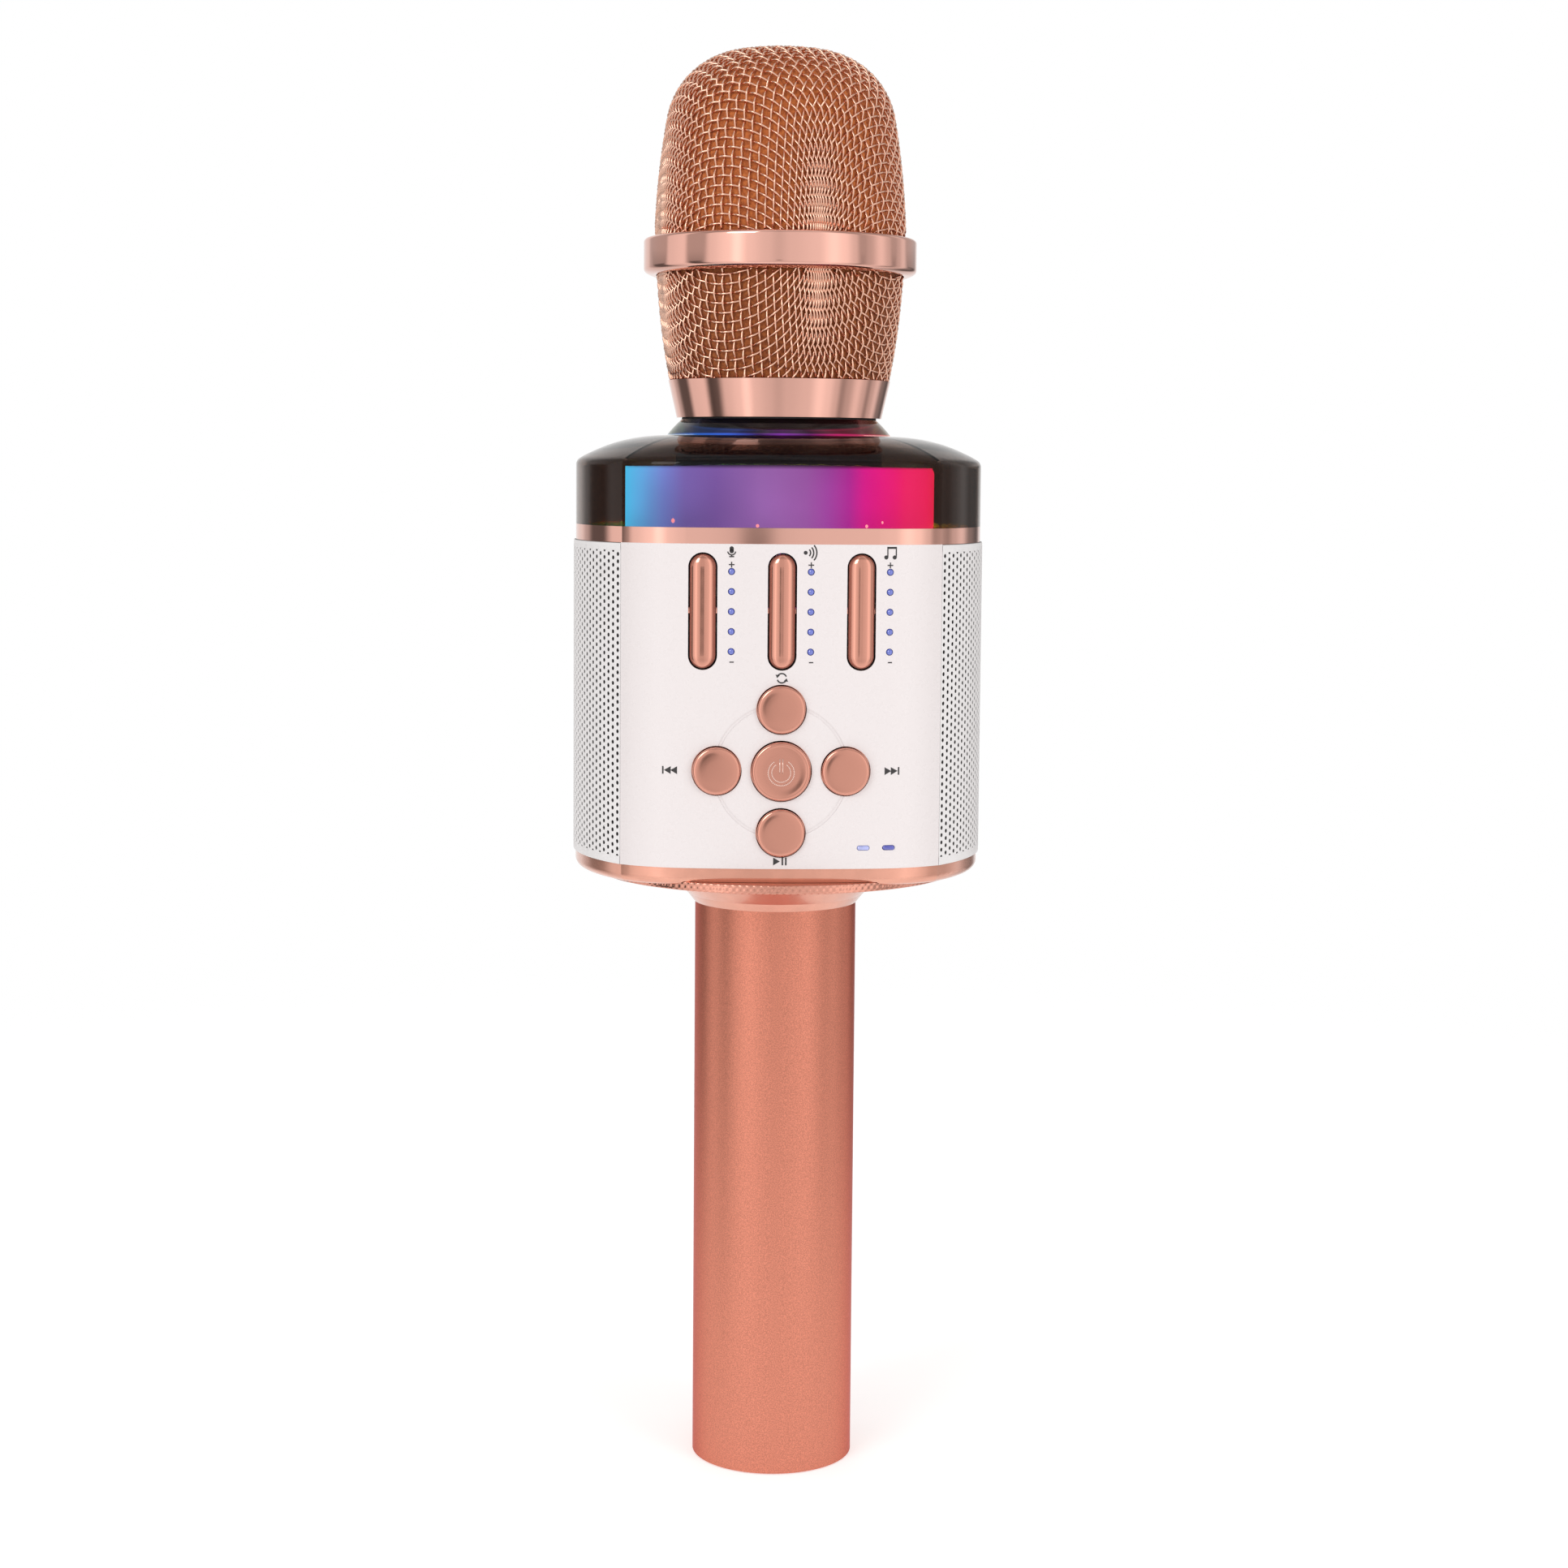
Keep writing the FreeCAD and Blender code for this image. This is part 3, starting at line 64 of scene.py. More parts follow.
def vertices_mm(node):
    """All vertices of a CAD node as an array, in millimetres."""
    return np.array([vertex.co for vertex in NODES[node].data.vertices]) / MM


def islands_mm(node):
    """Low and high corner of each separate solid in a node, in millimetres."""
    points = vertices_mm(node)
    index_of = {}
    ids = [index_of.setdefault(tuple(np.round(p, 3)), len(index_of)) for p in points]
    parent = list(range(len(index_of)))

    def root(i):
        while parent[i] != i:
            parent[i] = parent[parent[i]]
            i = parent[i]
        return i

    for edge in NODES[node].data.edges:
        parent[root(ids[edge.vertices[0]])] = root(ids[edge.vertices[1]])
    groups = {}
    for point, number in zip(points, ids):
        groups.setdefault(root(number), []).append(point)
    return [(np.min(g, 0), np.max(g, 0)) for g in groups.values()]


def outer_profile(node):
    """The convex outline (radius, height) of a turned node, from top to bottom."""
    points = vertices_mm(node)
    flat = np.column_stack([np.hypot(points[:, 0], points[:, 1]), points[:, 2]])
    flat = np.unique(np.round(flat, 4), axis=0)
    order = flat[np.argsort(-flat[:, 1], kind="stable")]
    hull = []
    for point in order:
        while len(hull) > 1:
            a, b = hull[-2], hull[-1]
            turn = (b[0] - a[0]) * (point[1] - b[1]) - (b[1] - a[1]) * (point[0] - b[0])
            if turn < 0:
                break
            hull.pop()
        hull.append(point)
    hull = np.array(hull)
    widest = int(np.argmax(hull[:, 0]))
    keep = [i for i in range(len(hull)) if i <= widest or hull[i, 0] > 0.5 * hull[widest, 0]]
    return hull[keep]


# ---------------------------------------------------------------- materials


class NodeWork:
    """Adds shader nodes to a material or a world. A source is a socket or a plain value."""

    def __init__(self, owner):
        owner.use_nodes = True
        self.nodes = owner.node_tree.nodes
        self.links = owner.node_tree.links

    def feed(self, socket, source):
        if isinstance(source, bpy.types.NodeSocket):
            self.links.new(source, socket)
        elif source is not None:
            socket.default_value = source

    def node(self, kind, sockets=(), **settings):
        """A new node with its settings, and its inputs fed from (socket, source) pairs."""
        node = self.nodes.new("ShaderNode" + kind)
        for setting, choice in settings.items():
            setattr(node, setting, choice)
        for socket, source in sockets:
            self.feed(node.inputs[socket], source)
        return node

    def math(self, operation, first, second=None):
        return self.node("Math", [(0, first), (1, second)], operation=operation).outputs[0]

    def span(self, source, start, end, low=0.0, high=1.0, **settings):
        """A value brought from start..end to low..high and held there."""
        sockets = [("Value", source), ("From Min", start), ("From Max", end)]
        sockets += [("To Min", low), ("To Max", high)]
        return self.node("MapRange", sockets, **settings).outputs["Result"]

    def split(self, vector):
        return self.node("SeparateXYZ", [(0, vector)]).outputs

    def length(self, vector):
        return self.node("VectorMath", [(0, vector)], operation="LENGTH").outputs["Value"]

    def bearing(self, parts):
        """The bearing around the axis as 0 to 1: half is the front, more is to its right."""
        turn = self.math("ARCTAN2", parts["X"], self.math("MULTIPLY", parts["Y"], -1.0))
        return self.span(turn, -math.pi, math.pi)

    def ramp(self, source, stops, blend="LINEAR"):
        """Colours along a value: stops are (position, colour)."""
        ramp = self.node("ValToRGB", [("Fac", source)])
        ramp.color_ramp.interpolation = blend
        elements = ramp.color_ramp.elements
        while len(elements) < len(stops):
            elements.new(0.5)
        for element, (position, color) in zip(elements, stops):
            element.position = position
            element.color = (*color, 1)
        return ramp.outputs["Color"]


class Paint(NodeWork):
    """A Principled material with a few helpers for procedural detail."""

    def __init__(self, name, color, metallic=0.0, roughness=0.5, **sockets):
        self.material = bpy.data.materials.new(name)
        super().__init__(self.material)
        self.shader = self.nodes["Principled BSDF"]
        self.set(Base_Color=(*color, 1), Metallic=metallic, Roughness=roughness, **sockets)
        self.place = self.node("TexCoord").outputs["Object"]

    def set(self, **sockets):
        """Feed the shader; an underscore stands for a space in a socket's name."""
        for socket, source in sockets.items():
            self.feed(self.shader.inputs[socket.replace("_", " ")], source)
        return self

    def noise(self, scale, detail=2.0, stretch=(1, 1, 1)):
        """Noise with features of about 1/scale metres."""
        place = self.node("Mapping", [("Vector", self.place), ("Scale", stretch)]).outputs[0]
        return self.node("TexNoise", [("Vector", place), ("Scale", scale), ("Detail", detail)]).outputs["Fac"]

    def cells(self, scale):
        """Distance to the nearest of scattered points, as in foam."""
        return self.node("TexVoronoi", [("Vector", self.place), ("Scale", scale)]).outputs["Distance"]

    def spread(self, noise, low, high):
        """Noise brought to run from low to high."""
        return self.span(noise, 0.3, 0.7, low, high)

    def vary_roughness(self, scale, low, high, detail=3.0, stretch=(1, 1, 1)):
        return self.set(Roughness=self.spread(self.noise(scale, detail, stretch), low, high))

    def vary_color(self, scale, stops, detail=3.0, stretch=(1, 1, 1)):
        return self.set(Base_Color=self.ramp(self.noise(scale, detail, stretch), stops))

    def bump(self, source, depth, strength=1.0):
        """Bump of a depth in millimetres."""
        sockets = [("Height", source), ("Distance", depth * MM), ("Strength", strength)]
        return self.set(Normal=self.node("Bump", sockets).outputs["Normal"])


def shade(color, factor):
    """A colour made lighter or darker."""
    return tuple(min(1.0, channel * factor) for channel in color)


CHROME_ROSE = (0.80, 0.445, 0.365)
LACQUER_ROSE = (0.76, 0.36, 0.26)
WIRE_ROSE = (0.84, 0.50, 0.37)


def rose_chrome():
    paint = Paint("rose_chrome", CHROME_ROSE, 1.0, 0.08)
    paint.vary_roughness(90, 0.05, 0.11)
    return paint.bump(paint.noise(60), 0.004, 0.15).material


def key_chrome():
    paint = Paint("key_chrome", (0.70, 0.325, 0.245), 1.0, 0.1)
    return paint.vary_roughness(300, 0.07, 0.13).material


def mark_chrome():
    paint = Paint("mark_chrome", (0.84, 0.55, 0.47), 1.0, 0.12)
    return paint.vary_roughness(500, 0.08, 0.16).material


def rose_lacquer():
    paint = Paint("rose_lacquer", LACQUER_ROSE, 0.75, 0.2, Coat_Weight=0.6, Coat_Roughness=0.06)
    stops = [(0.3, shade(LACQUER_ROSE, 0.95)), (0.7, shade(LACQUER_ROSE, 1.04))]
    return paint.vary_color(400, stops).material


def anodised():
    base = (0.64, 0.235, 0.16)
    paint = Paint("rose_anodised", base, 0.95, 0.28, Specular_Tint=(0.72, 0.42, 0.46, 1))
    stops = [(0.35, shade(base, 0.86)), (0.5, base), (0.68, shade(base, 1.16))]
    paint.vary_color(5200, stops, detail=1.0)
    paint.vary_roughness(1800, 0.33, 0.41, detail=1.0)
    return paint.bump(paint.noise(4200, 1.0), 0.008, 0.3).material


def wire_plating():
    paint = Paint("rose_wire", WIRE_ROSE, 1.0, 0.16)
    return paint.vary_roughness(1500, 0.10, 0.24).material


def foam_paint(name, level):
    """Orange-brown open-cell foam at a level of brightness; a level below 1 is painted shade."""
    paint = Paint(name, (0.45, 0.13, 0.035), 0.0, 0.95, Sheen_Weight=0.15)
    stops = [(0.3, (0.32, 0.075, 0.018)), (0.55, (0.52, 0.145, 0.035)), (0.75, (0.66, 0.21, 0.055))]
    paint.vary_color(1600, [(place, shade(color, level)) for place, color in stops], detail=4.0)
    return paint.bump(paint.cells(1500), 0.25, 0.7).material


SMOKE = (0.15, 0.10, 0.08)


def smoked():
    paint = Paint("smoked", SMOKE, 0.0, 0.02, Transmission_Weight=1.0, IOR=1.24)
    return paint.vary_color(40, [(0.3, shade(SMOKE, 0.94)), (0.7, shade(SMOKE, 1.04))]).material


def smoked_skirt():
    """Darker smoke, with painted glow in its lip that stands in for light from the drum."""
    tint = (0.05, 0.035, 0.03)
    paint = Paint("smoked_skirt", tint, 0.0, 0.03, Transmission_Weight=0.9, IOR=1.3)
    paint.vary_color(60, [(0.3, shade(tint, 0.9)), (0.7, shade(tint, 1.1))])
    parts = paint.split(paint.place)
    foot = box_mm("neck_skirt")[0][2]
    start, end = ((foot + rise) * MM for rise in SKIRT_LIP)
    painted_lip_glow = paint.span(parts["Z"], start, end, 1.0, 0.0, interpolation_type="SMOOTHSTEP")
    color = paint.ramp(paint.bearing(parts), by_turn(SKIRT_PAINTED_GLOW))
    return paint.set(Emission_Color=color, Emission_Strength=painted_lip_glow).material


def by_turn(table):
    """A table by bearing in degrees, brought to ramp stops from 0 to 1."""
    return [((degrees + 180) / 360, color) for degrees, color in table]


SKIRT_LIP = (0.03, 0.32)  # heights above its foot where the painted glow starts to fade and is gone
# Painted glow at the skirt's lip, standing in for light from the drum that creeps out there, by bearing.
SKIRT_PAINTED_GLOW = [
    (-180, (0.10, 0.30, 0.02)),
    (-75, (0.02, 0.05, 0.12)),
    (-50, (0.015, 0.10, 0.45)),
    (-28, (0.03, 0.10, 0.60)),
    (-12, (0.04, 0.01, 0.10)),
    (0, (0.20, 0.03, 0.35)),
    (14, (0.10, 0.01, 0.12)),
    (30, (0.45, 0.01, 0.12)),
    (60, (0.35, 0.02, 0.05)),
    (180, (0.10, 0.30, 0.02)),
]


# Colours of the lit drum by bearing, from -180 to 180 degrees; 0 is the front and + is to its right.
DRUM_COLORS = [
    (-180, (0.55, 0.75, 0.02)),
    (-140, (0.02, 0.70, 0.12)),
    (-105, (0.01, 0.60, 0.55)),
    (-74, (0.075, 0.50, 0.84)),
    (-60, (0.11, 0.38, 0.74)),
    (-47, (0.15, 0.20, 0.57)),
    (-37, (0.18, 0.115, 0.41)),
    (-24, (0.215, 0.10, 0.40)),
    (-8, (0.32, 0.13, 0.43)),
    (8, (0.325, 0.09, 0.375)),
    (16, (0.35, 0.05, 0.35)),
    (24, (0.44, 0.016, 0.30)),
    (30, (0.72, 0.003, 0.26)),
    (38, (0.83, 0.002, 0.21)),
    (50, (0.85, 0.004, 0.12)),
    (66, (0.82, 0.006, 0.09)),
    (84, (0.76, 0.012, 0.05)),
    (110, (0.85, 0.12, 0.01)),
    (140, (0.80, 0.45, 0.01)),
    (180, (0.55, 0.75, 0.02)),
]


def lit_drum(strength):
    """Milky plastic lit from inside, its colour turning with the bearing around the axis."""
    paint = Paint("diffuser_lit", (0.05, 0.045, 0.05), 0.0, 0.35, Specular_IOR_Level=0.2)
    parts = paint.split(paint.place)
    ahead_of_smoke = [SMOKE[0] / part for part in SMOKE]  # undoes the tint of the smoked cover
    colors = [(degrees, np.multiply(color, ahead_of_smoke)) for degrees, color in DRUM_COLORS]
    color = paint.ramp(paint.bearing(parts), by_turn(colors))
    glow = paint.spread(paint.noise(45, 1.0, (1, 1, 1.6)), strength * 0.86, strength * 1.16)
    low, high = (corner * MM for corner in box_mm("light_diffuser"))
    fall = paint.span(parts["Z"], low[2], high[2], 0.84, 1.06)
    facing_up = paint.split(paint.node("NewGeometry").outputs["Normal"])["Z"]
    side = paint.span(facing_up, 0.5, 0.95, 1.0, 0.12)
    level = paint.math("MULTIPLY", paint.math("MULTIPLY", glow, fall), side)
    return paint.set(Emission_Color=color, Emission_Strength=level).material


def white_satin():
    base = (0.74, 0.69, 0.69)
    paint = Paint("white_panel", base, 0.0, 0.28, Coat_Weight=0.25, Coat_Roughness=0.15)
    paint.vary_roughness(700, 0.24, 0.33)
    return paint.bump(paint.noise(2500), 0.004, 0.2).material


def white_enamel():
    """White stove enamel outside; the punched edges and the inside of the sheet are painted near black, as
    painted shade in the holes.
    """
    base = (0.80, 0.78, 0.78)
    hole_shade = (0.035, 0.034, 0.034)
    paint = Paint("white_grille", base, 0.0, 0.4)
    enamel = paint.ramp(paint.noise(300, 3.0), [(0.3, shade(base, 0.97)), (0.7, shade(base, 1.02))])
    flat = paint.node("VectorMath", [(0, paint.place), (1, (1, 1, 0))], operation="MULTIPLY").outputs[0]
    radius = box_mm("speaker_grille")[1][0]
    # inward of the outer face the colour turns near black: painted shade on the hole walls
    outside = paint.span(paint.length(flat), (radius - 0.16) * MM, (radius - 0.06) * MM)
    mix = paint.node("Mix", [("Factor", outside)], data_type="RGBA")
    first, second = (socket for socket in mix.inputs if socket.type == "RGBA")
    paint.feed(first, (*hole_shade, 1))
    paint.feed(second, enamel)
    mixed = next(socket for socket in mix.outputs if socket.type == "RGBA")
    return paint.set(Base_Color=mixed).bump(paint.noise(3000), 0.005, 0.25).material


def moulded(name, color, roughness=0.55):
    """Moulded plastic or rubber with a fine grain."""
    paint = Paint(name, color, 0.0, roughness)
    paint.vary_color(900, [(0.3, shade(color, 0.85)), (0.7, shade(color, 1.12))])
    return paint.bump(paint.noise(2600), 0.02, 0.4).material


def bare_metal(name, color, roughness=0.3, stretch=(1, 1, 8)):
    """Drawn or plated metal with fine directional marks."""
    paint = Paint(name, color, 1.0, roughness)
    paint.vary_roughness(900, roughness * 0.8, roughness * 1.25, stretch=stretch)
    return paint.bump(paint.noise(1500, 2.0, stretch), 0.004, 0.3).material


def solder_mask():
    """Green board with faint tracks."""
    paint = Paint("board", (0.012, 0.09, 0.035), 0.0, 0.3, Coat_Weight=0.4)
    sockets = [("Vector", paint.place), ("Scale", 420), ("Mortar Size", 0.03)]
    sockets += [("Color1", (0.010, 0.085, 0.032, 1)), ("Color2", (0.016, 0.11, 0.045, 1))]
    sockets += [("Mortar", (0.03, 0.17, 0.07, 1))]
    return paint.set(Base_Color=paint.node("TexBrick", sockets).outputs["Color"]).material


def pressed_paper():
    paint = Paint("paper_cone", (0.035, 0.035, 0.04), 0.0, 0.85)
    paint.vary_color(1400, [(0.3, (0.02, 0.02, 0.022)), (0.7, (0.06, 0.06, 0.065))], detail=5.0)
    return paint.bump(paint.noise(1800, 4.0), 0.06, 0.6).material


def shrink_wrap():
    paint = Paint("cell_wrap", (0.02, 0.12, 0.38), 0.0, 0.25, Coat_Weight=0.5)
    paint.vary_color(150, [(0.35, (0.015, 0.10, 0.34)), (0.65, (0.03, 0.15, 0.44))])
    return paint.bump(paint.noise(220, 2.0, (1, 1, 0.3)), 0.08, 0.4).material


def shining(paint, light, scale, low, high, detail=0.0):
    """The paint's material, with light that varies a little between two strengths."""
    glow = paint.spread(paint.noise(scale, detail), low, high)
    return paint.set(Emission_Color=(*light, 1), Emission_Strength=glow).material


def lit_bead(name, color, strength, roughness=0.08):
    """A small clear lens with light behind it."""
    paint = Paint(name, color, 0.0, roughness, Coat_Weight=1.0, Coat_Roughness=0.03, Coat_IOR=2.2)
    return shining(paint, color, 1500, strength * 0.7, strength * 1.3, 1.0)


def ink():
    paint = Paint("ink", (0.028, 0.025, 0.026), 0.0, 0.5)
    return paint.vary_roughness(4000, 0.42, 0.6).material


# painted glint: a glowing pink that stands in for reflections of the lamps in the inner cover
def painted_glint():
    return shining(Paint("painted_glint", (0.9, 0.5, 0.6), 0.0, 0.3), (1.0, 0.45, 0.60), 300, 6.0, 9.0)


def led_package():
    return shining(Paint("led", (0.80, 0.80, 0.76), 0.0, 0.4), (1.0, 0.85, 0.8), 400, 0.6, 1.4)


MATERIALS = {
    "rose_chrome": rose_chrome(),
    "key_chrome": key_chrome(),
    "mark_chrome": mark_chrome(),
    "rose_gloss": rose_lacquer(),
    "rose_anodised": anodised(),
    "rose_wire": wire_plating(),
    "foam": foam_paint("foam", 1.0),
    # a darker copy of the foam for the lower liner: painted shade, as if under the band
    "foam_painted_shade": foam_paint("foam_painted_shade", 0.62),
    "smoked": smoked(),
    "smoked_skirt": smoked_skirt(),
    "diffuser": lit_drum(6.3),
    "white_panel": white_satin(),
    "white_grille": white_enamel(),
    "black_plastic": moulded("black_plastic", (0.022, 0.021, 0.022)),
    "white_plastic": moulded("white_plastic", (0.80, 0.78, 0.78), 0.4),
    "board": solder_mask(),
    "switch": moulded("switch", (0.03, 0.03, 0.034), 0.45),
    "rubber": moulded("rubber", (0.028, 0.027, 0.027), 0.8),
    "screw_steel": bare_metal("screw_steel", (0.60, 0.59, 0.57)),
    "socket_metal": bare_metal("socket_metal", (0.68, 0.68, 0.69), 0.25),
    "magnet": bare_metal("magnet", (0.16, 0.16, 0.17), 0.45, (1, 1, 1)),
    "paper_cone": pressed_paper(),
    "cell_wrap": shrink_wrap(),
    "lead": moulded("lead", (0.42, 0.02, 0.015), 0.4),
    "capsule": bare_metal("capsule", (0.66, 0.64, 0.62), 0.3),
    "led": led_package(),
    "level_light": lit_bead("level_light", (0.045, 0.075, 0.42), 0.25),
    "status_pale": lit_bead("status_pale", (0.30, 0.33, 0.62), 0.3),
    "status_blue": lit_bead("status_blue", (0.012, 0.018, 0.30), 0.35),
    "ink": ink(),
    "painted_glint": painted_glint(),
}
KEY_NODES = [name for name in NODES if name.startswith(("rocker_m", "rocker_e", "button_"))]


def dress_cad_nodes():
    """Give every CAD node its procedural material, with metallised keys and buttons and a smoked skirt."""
    slots = {entry["node"]: entry["material_slot"] for entry in frame["record"]["subparts"]}
    for name, node in NODES.items():
        chosen = slots[name]
        if name in KEY_NODES and name != "button_board":
            chosen = "key_chrome"
        if name == "neck_skirt":
            chosen = "smoked_skirt"
        node.data.materials.clear()
        node.data.materials.append(MATERIALS[chosen])


# ---------------------------------------------------------------- mesh helpers


def new_piece(name, shape, material, body, stands_for=(), crisp=None, outwards=False, smooth=True):
    """A piece made from a shape and riding on a body. Edges sharper than crisp degrees stay crisp."""
    mesh = bpy.data.meshes.new(name)
    mesh.from_pydata([tuple(p) for p in np.asarray(shape.points) * MM], [], shape.faces)
    mesh.validate()
    mesh.update()
    if smooth:
        mesh.shade_smooth()
    piece = bpy.data.objects.new(name, mesh)
    bpy.context.scene.collection.objects.link(piece)
    mesh.materials.append(MATERIALS[material])
    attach(piece, body)
    if stands_for:
        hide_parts(*stands_for)
    if outwards:
        turn_outwards(mesh)
    if crisp:
        mesh.set_sharp_from_angle(angle=math.radians(crisp))


def turn_outwards(mesh):
    work = bmesh.new()
    work.from_mesh(mesh)
    bmesh.ops.recalc_face_normals(work, faces=work.faces)
    work.to_mesh(mesh)
    work.free()


BOX_FACES = ((0, 1, 3, 2), (4, 6, 7, 5), (0, 4, 5, 1), (2, 3, 7, 6), (0, 2, 6, 4), (1, 5, 7, 3))


class Shape:
    """Points in millimetres and faces, gathered for one piece."""

    def __init__(self, points=(), faces=()):
        self.points = list(points)
        self.faces = [tuple(face) for face in faces]

    def add(self, points, faces, place=None):
        """Add more points and faces, each point moved by place."""
        base = len(self.points)
        self.points += map(place, points) if place else list(points)
        self.faces += [tuple(base + k for k in face) for face in faces]

    def sweep(self, rings):
        """A skin over rings of equal size, both ends closed."""
        self.add([point for ring in rings for point in ring], skin(len(rings), len(rings[0])))

    def box(self, low, high):
        pairs = list(zip(low, high))
        self.add([(x, y, z) for x in pairs[0] for y in pairs[1] for z in pairs[2]], BOX_FACES)


def skin(count, size):
    """Faces over count rings of size points each, both ends closed."""
    faces = []
    for start in range(0, (count - 1) * size, size):
        for k in range(size):
            after = (k + 1) % size
            faces.append((start + k, start + after, start + size + after, start + size + k))
    faces.append(tuple(reversed(range(size))))
    faces.append(tuple(range((count - 1) * size, count * size)))
    return faces


def revolve(outline, steps, closed=True):
    """Points and faces of an outline (radius, height) turned about Z. A radius of 0 is one point."""
    points = []
    rings = []
    for radius, height in outline:
        if radius < 1e-6:
            rings.append([len(points)] * steps)
            points.append((0.0, 0.0, height))
            continue
        rings.append(list(range(len(points), len(points) + steps)))
        for step in range(steps):
            angle = 2 * math.pi * step / steps
            points.append((radius * math.cos(angle), radius * math.sin(angle), height))
    faces = []
    count = len(rings)
    for index in range(count if closed else count - 1):
        low, high = rings[index], rings[(index + 1) % count]
        for step in range(steps):
            after = (step + 1) % steps
            corners = [low[step], low[after], high[after], high[step]]
            unique = list(dict.fromkeys(corners))
            if len(unique) > 2:
                faces.append(unique)
    return points, faces


# ---------------------------------------------------------------- woven wire


MESH_PITCH = 1.68
BOWL_DEPTH = 15.0  # how deep the cloth of the lower cup reaches below its foot before it is cut
WIRE_RADIUS = 0.195
WIRE_WAVE = 0.27  # how far a wire swings in and out at each crossing
WEAVE_BEARING = math.radians(-29 - 90)  # the warp runs down this side, 29 degrees left of front
SAMPLES_PER_CELL = 4
WIRE_SIDES = 6


class TurnedSurface:
    """A surface of revolution given by an outline (radius, height) from the apex outwards."""

    def __init__(self, outline):
        self.line = np.asarray(outline)
        steps = np.diff(self.line, axis=0)
        self.lengths = np.hypot(*steps.T)
        self.along = np.concatenate([[0], np.cumsum(self.lengths)])
        self.ways = steps / self.lengths[:, None]
        side = np.column_stack([-self.ways[:, 1], self.ways[:, 0]])
        outwards = 1 if side[0, 1] * np.sign(-steps[:, 1].sum()) > 0 else -1
        self.normals = side * outwards

    def at(self, along, bearing):
        radius = np.interp(along, self.along, self.line[:, 0])
        height = np.interp(along, self.along, self.line[:, 1])
        return np.array([radius * math.cos(bearing), radius * math.sin(bearing), height])

    def nearest(self, point):
        """Signed gap to the surface, how far along it is, and the normal in the outline's plane."""
        flat = np.array([math.hypot(point[0], point[1]), point[2]])
        offset = flat - self.line[:-1]
        share = np.clip((offset * self.ways).sum(1), 0, self.lengths)
        foot = self.line[:-1] + self.ways * share[:, None]
        gaps = np.hypot(*(flat - foot).T)
        best = int(np.argmin(gaps))
        normal = self.normals[best]
        sign = 1 if (flat - foot[best]) @ normal >= 0 else -1
        return sign * gaps[best], self.along[best] + share[best], normal

    def normal_at(self, point):
        """Outward normal in space, smoothed between the outline's stretches."""
        along = self.nearest(point)[1]
        middles = (self.along[:-1] + self.along[1:]) / 2
        out = np.interp(along, middles, self.normals[:, 0])
        up = np.interp(along, middles, self.normals[:, 1])
        bearing = math.atan2(point[1], point[0])
        normal = np.array([out * math.cos(bearing), out * math.sin(bearing), up])
        return normal / np.linalg.norm(normal)


def net_corner(surface, a, b, back):
    """The point one pitch from both a and b on the surface, on the far side from back."""
    middle = (a + b) / 2
    across = b - a
    span = np.linalg.norm(across)
    reach = MESH_PITCH**2 - (span / 2) ** 2
    if reach <= 0:
        return None
    across = across / span
    ahead = middle - back
    ahead -= across * (ahead @ across)
    size = np.linalg.norm(ahead)
    if size < 1e-9:
        return None
    ahead /= size
    up = np.cross(across, ahead)
    reach = math.sqrt(reach)

    def gap(angle):
        point = middle + reach * (math.cos(angle) * ahead + math.sin(angle) * up)
        return surface.nearest(point)[0], point

    low, high = -1.1, 1.1
    low_gap, high_gap = gap(low)[0], gap(high)[0]
    if low_gap * high_gap > 0:
        return None
    for _ in range(26):
        angle = (low + high) / 2
        value, point = gap(angle)
        if value * low_gap > 0:
            low, low_gap = angle, value
        else:
            high = angle
    return point


def woven_net(surface, count):
    """Crossings of a square cloth drawn over the surface: net[i, j] for -count..count."""
    quarter = np.full((count + 1, count + 1, 3), np.nan)
    quarter[0, 0] = surface.at(0, 0)
    for step in range(1, count + 1):
        quarter[step, 0] = surface.at(step * MESH_PITCH, WEAVE_BEARING)
        quarter[0, step] = surface.at(step * MESH_PITCH, WEAVE_BEARING + math.pi / 2)
    for i in range(1, count + 1):
        for j in range(1, count + 1):
            a, b, back = quarter[i - 1, j], quarter[i, j - 1], quarter[i - 1, j - 1]
            if np.isnan(a).any() or np.isnan(b).any():
                continue
            corner = net_corner(surface, a, b, back)
            if corner is not None:
                quarter[i, j] = corner
    net = np.full((2 * count + 1, 2 * count + 1, 3), np.nan)
    for i in range(count + 1):
        for j in range(count + 1):
            point = quarter[i, j]
            x, y = i, j
            for _ in range(4):
                net[count + x, count + y] = point
                point = np.array([-point[1], point[0], point[2]])
                x, y = -y, x
    return net


def wire_line(surface, crossings, signs):
    """A wavy line over and under at its crossings, with the normal at each point."""
    line = []
    normals = []
    last = len(crossings) - 1
    for k in range(last):
        before = crossings[max(k - 1, 0)]
        start, end = crossings[k], crossings[k + 1]
        beyond = crossings[min(k + 2, last)]
        for sample in range(SAMPLES_PER_CELL + (k == last - 1)):
            t = sample / SAMPLES_PER_CELL
            way_in, way_out = (end - before) / 2, (beyond - start) / 2
            point = (
                (2 * t**3 - 3 * t**2 + 1) * start
                + (t**3 - 2 * t**2 + t) * way_in
                + (3 * t**2 - 2 * t**3) * end
                + (t**3 - t**2) * way_out
            )
            normal = surface.normal_at(point)
            wave = WIRE_WAVE * signs[k] * math.cos(math.pi * t)
            line.append(point + normal * wave)
            normals.append(normal)
    return np.array(line), np.array(normals)


def stretches(kept):
    """Start and end of each run of true values that is at least three long."""
    edges = np.flatnonzero(np.diff(np.concatenate([[0], kept.astype(int), [0]])))
    return [(start, end) for start, end in zip(edges[::2], edges[1::2]) if end - start >= 3]


